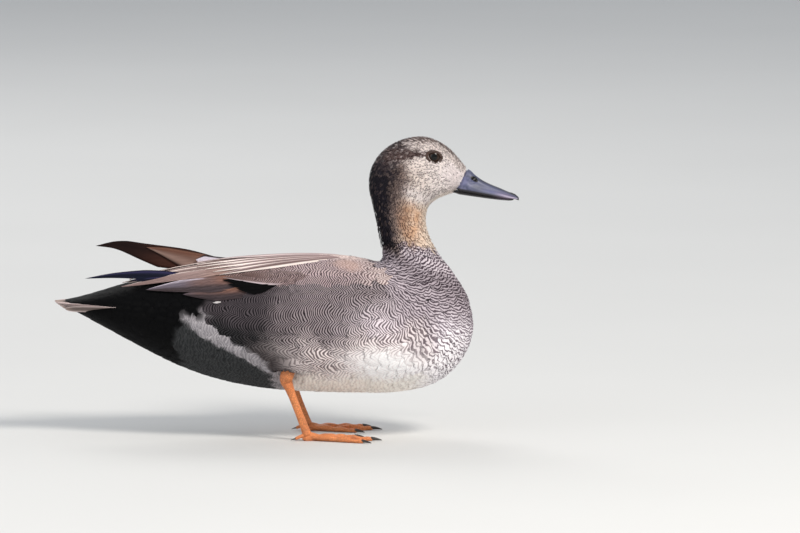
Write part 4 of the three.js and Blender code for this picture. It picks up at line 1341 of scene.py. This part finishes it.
def build_eyes():
    ball, lids = eyeball_rings(), eyelid_rings()
    for side, sign in SIDES.items():
        mirror = (1, sign, 1)
        dress(closed_tube(f"eyeball_{side}", ball * mirror), eye_gloss, (f"eye_{side}",), "eye_gloss")
        faces = grid_faces(*lids.shape[:2], wrap=True)
        rim = mesh_piece(f"eyelids_{side}", lids.reshape(-1, 3) * mirror, faces)
        dress(rim, lid_skin, (), "head_feather")


build_eyes()


# ---- Legs and feet ----
def over_toe(splay, out, z):
    angle = math.radians(splay)
    return [FOOT["x"] + 2 + out * math.cos(angle), -FOOT["side"] - out * math.sin(angle), z]


def plated(rings, count, height, part):
    """Rings of points with a row of raised plates on the given part of their surface."""
    place = np.linspace(0, 1, len(rings))[:, None]
    out = unit(rings - rings.mean(1, keepdims=True))
    raised = height * np.abs(np.sin(place * math.pi * count)) ** .5
    return rings + out * (raised * part(out, place))[..., None]


def shank_rings():
    x, y, z, r = ANKLE["x"], ANKLE["side"], ANKLE["z"], ANKLE["radius"]

    def down(s):
        return [x + (FOOT["x"] - x) * s, -y + (y - FOOT["side"]) * s, z + (FOOT["z"] - z) * s]

    centres = [[x + 5.2, -y - .6, z + 11], [x + 3, -y - 3.6, z + 8], [x + 1.2, -y - 2.8, z + 3.4],
               *map(down, (.03, .15, .3, .6, .85, 1))]
    radii = [.75 * r, 1.02 * r, 1.12 * r, 1.02 * r, .76 * r, 2.9, 2.75, 3, 3.4]
    rings = tube_points(centres, radii, [.8, .8, .82, .84, .8, .78, .78, .85, 1], steps=110, around=36)
    return plated(rings, count=24, height=.16,
                  part=lambda out, place: ramp(out[..., 0], .3, .8) * ramp(place, .3, .38))


def toe_rings(toe):
    long, splay, radius, _ = toe
    shares = np.linspace(0, 1, 15)
    radii = radius * (1 - .32 * shares) * (1 + .16 * np.cos(2 * math.pi * 3 * shares))
    radii[-1] *= .6
    centres = [over_toe(splay, long * s, max(r * .92, .5) + 1.2 * (1 - s)) for s, r in zip(shares, radii)]
    rings = tube_points(centres, list(radii), [1] * 15, steps=60, around=16)
    return plated(rings, count=17, height=.14, part=lambda out, place: ramp(out[..., 2], .3, .8))


def hind_toe_rings():
    long, splay, radius, _ = HIND_TOE
    shares = np.linspace(0, 1, 6)
    centres = [over_toe(splay, long * s, FOOT["z"] + 1.4 - 4.2 * s) for s in shares]
    return tube_points(centres, list(radius * (1 - .35 * shares)), [1] * 6, steps=24, around=14)


def pad_rings():
    centres = [[FOOT["x"] + x, -FOOT["side"], z] for x, z in ((-3.6, 1.9), (-1, 2.3), (2, 2.6), (5.5, 2))]
    return tube_points(centres, [1.4, 3.4, 3.9, 2], [1, .9, .75, .8], steps=16, around=20)


def claw_rings(toe):
    long, splay, _, claw = toe
    share = np.linspace(0, 1, 9)
    centres = [over_toe(splay, long - 1.2 + (claw + 1.2) * s, 1.85 - 1.15 * s * s) for s in share]
    radii = [.2 * claw * (1 - .82 * s ** 1.5) for s in share]
    return tube_points(centres, radii, [.85] * 9, steps=26, around=14)


def web_sheet():
    """The web: a thin sheet through the three toes, hollow between them at its front edge."""
    toes = [TOES[name] for name in ("inner", "middle", "outer")]
    across = np.linspace(0, 2, 61)
    between = np.sin(math.pi * (across % 1))
    splay = np.radians(np.interp(across, [0, 1, 2], [toe[1] for toe in toes]))
    reach = [share * toe[0] for share, toe in zip((.95, .96, .95), toes)]
    far = np.interp(across, [0, 1, 2], reach) - 6.5 * between ** .8
    s = np.linspace(.02, 1, 34)[:, None]
    sag = 1.5 - .55 * between + .18 * between * np.sin(s * 40 + np.arange(len(across)) * .3)
    x, y = FOOT["x"] + 2 + far * s * np.cos(splay), -FOOT["side"] - far * s * np.sin(splay)
    top = np.stack([x, y, sag * (.25 + .75 * (1 - s ** 8)) + .18], -1)
    low = np.stack([x, y, np.full_like(x, .12)], -1)
    rows, columns = x.shape
    count = rows * columns
    quads = grid_faces(rows, columns)
    ring = np.concatenate([np.arange(columns), np.arange(1, rows) * columns + columns - 1,
                           (rows - 1) * columns + np.arange(columns - 2, -1, -1),
                           np.arange(rows - 2, 0, -1) * columns])
    after = np.roll(ring, -1)
    rims = np.stack([ring, ring + count, after + count, after], -1)
    return np.concatenate([top, low]).reshape(-1, 3), np.concatenate([quads, quads[:, ::-1] + count, rims])


def build_legs():
    for side, sign in SIDES.items():
        mirror = np.array((1, sign, 1))

        def standing(name, rings, floor=0):
            """A closed tube of this side that stays above the floor."""
            rings[..., 2] = np.maximum(rings[..., 2], floor)
            return closed_tube(name, rings * mirror)

        leg = closed_tube(f"shank_{side}", shank_rings() * mirror)
        toes = [standing(f"toe_{name}", toe_rings(toe)) for name, toe in TOES.items()]
        hind = closed_tube("toe_hind", hind_toe_rings() * mirror)
        pad = standing("toe_pad", pad_rings())
        points, quads = web_sheet()
        foot, web = toes[0], mesh_piece("web", points * mirror, quads)
        foot.name = f"foot_skin_{side}"
        melt(foot, [*toes[1:], hind, pad, web], voxel=.00042)
        dress(foot, leg_skin, (f"foot_{side}",), "leg_skin")
        dress(leg, leg_skin, (f"leg_{side}",), "leg_skin")
        for name, toe in {**TOES, "hind": HIND_TOE}.items():
            claw = standing(f"nail_{name}_{side}", claw_rings(toe), .05)
            dress(claw, claw_horn, (f"claw_{name}_{side}",), "claw_horn")


build_legs()


# ---- Floor, light and camera ----
LAMPS = [  # name, place, size, watts and tone
    ("key", (1.5, -1.9, 2.4), .9, 100, (1, .95, .88)),
    ("fill", (-2.4, -2.4, 1.2), 2.2, 20, (.93, .96, 1)),
    ("back", (-.8, 2.4, 2.2), 1.6, 30, (1, .98, .95)),
]


def aimed(name, data, place, aim):
    """An object at a place that looks at its aim."""
    seen = bpy.data.objects.new(name, data)
    seen.location = place
    seen.rotation_euler = (Vector(aim) - Vector(place)).to_track_quat("-Z", "Y").to_euler()
    bpy.context.scene.collection.objects.link(seen)
    return seen


def stage_and_light():
    bpy.ops.mesh.primitive_plane_add(size=60, location=(0, 0, 0))
    floor = bpy.context.object
    floor.name = "floor"
    n = Nodes("pale_floor")
    pale = n.mix(n.noise(3.0), (.60, .60, .59), (.63, .63, .62))
    floor.data.materials.append(n.done(pale, roughness=.75, gloss=None))
    studio = bpy.data.worlds.new("studio")
    studio.use_nodes = True
    sky = studio.node_tree.nodes["Background"].inputs
    sky[0].default_value, sky[1].default_value = (.9, .94, 1, 1), .6
    bpy.context.scene.world = studio
    for name, place, size, watts, tone in LAMPS:
        light = bpy.data.lights.new(name, "AREA")
        light.energy, light.size, light.color = watts, size, tone
        aimed(name, light, place, (0, 0, .12))
    bpy.context.scene.view_settings.view_transform = "Standard"


def set_camera():
    aim = Vector(world([82.5, 0, 127.7]))
    away, height = 9.0, math.radians(6)
    camera = bpy.data.cameras.new("camera")
    camera.sensor_width, camera.lens, camera.clip_end = 36, 540, 100
    place = aim + Vector((0, -away * math.cos(height), away * math.sin(height)))
    bpy.context.scene.camera = aimed("camera", camera, place, aim)


stage_and_light()
set_camera()
bpy.context.view_layer.update()
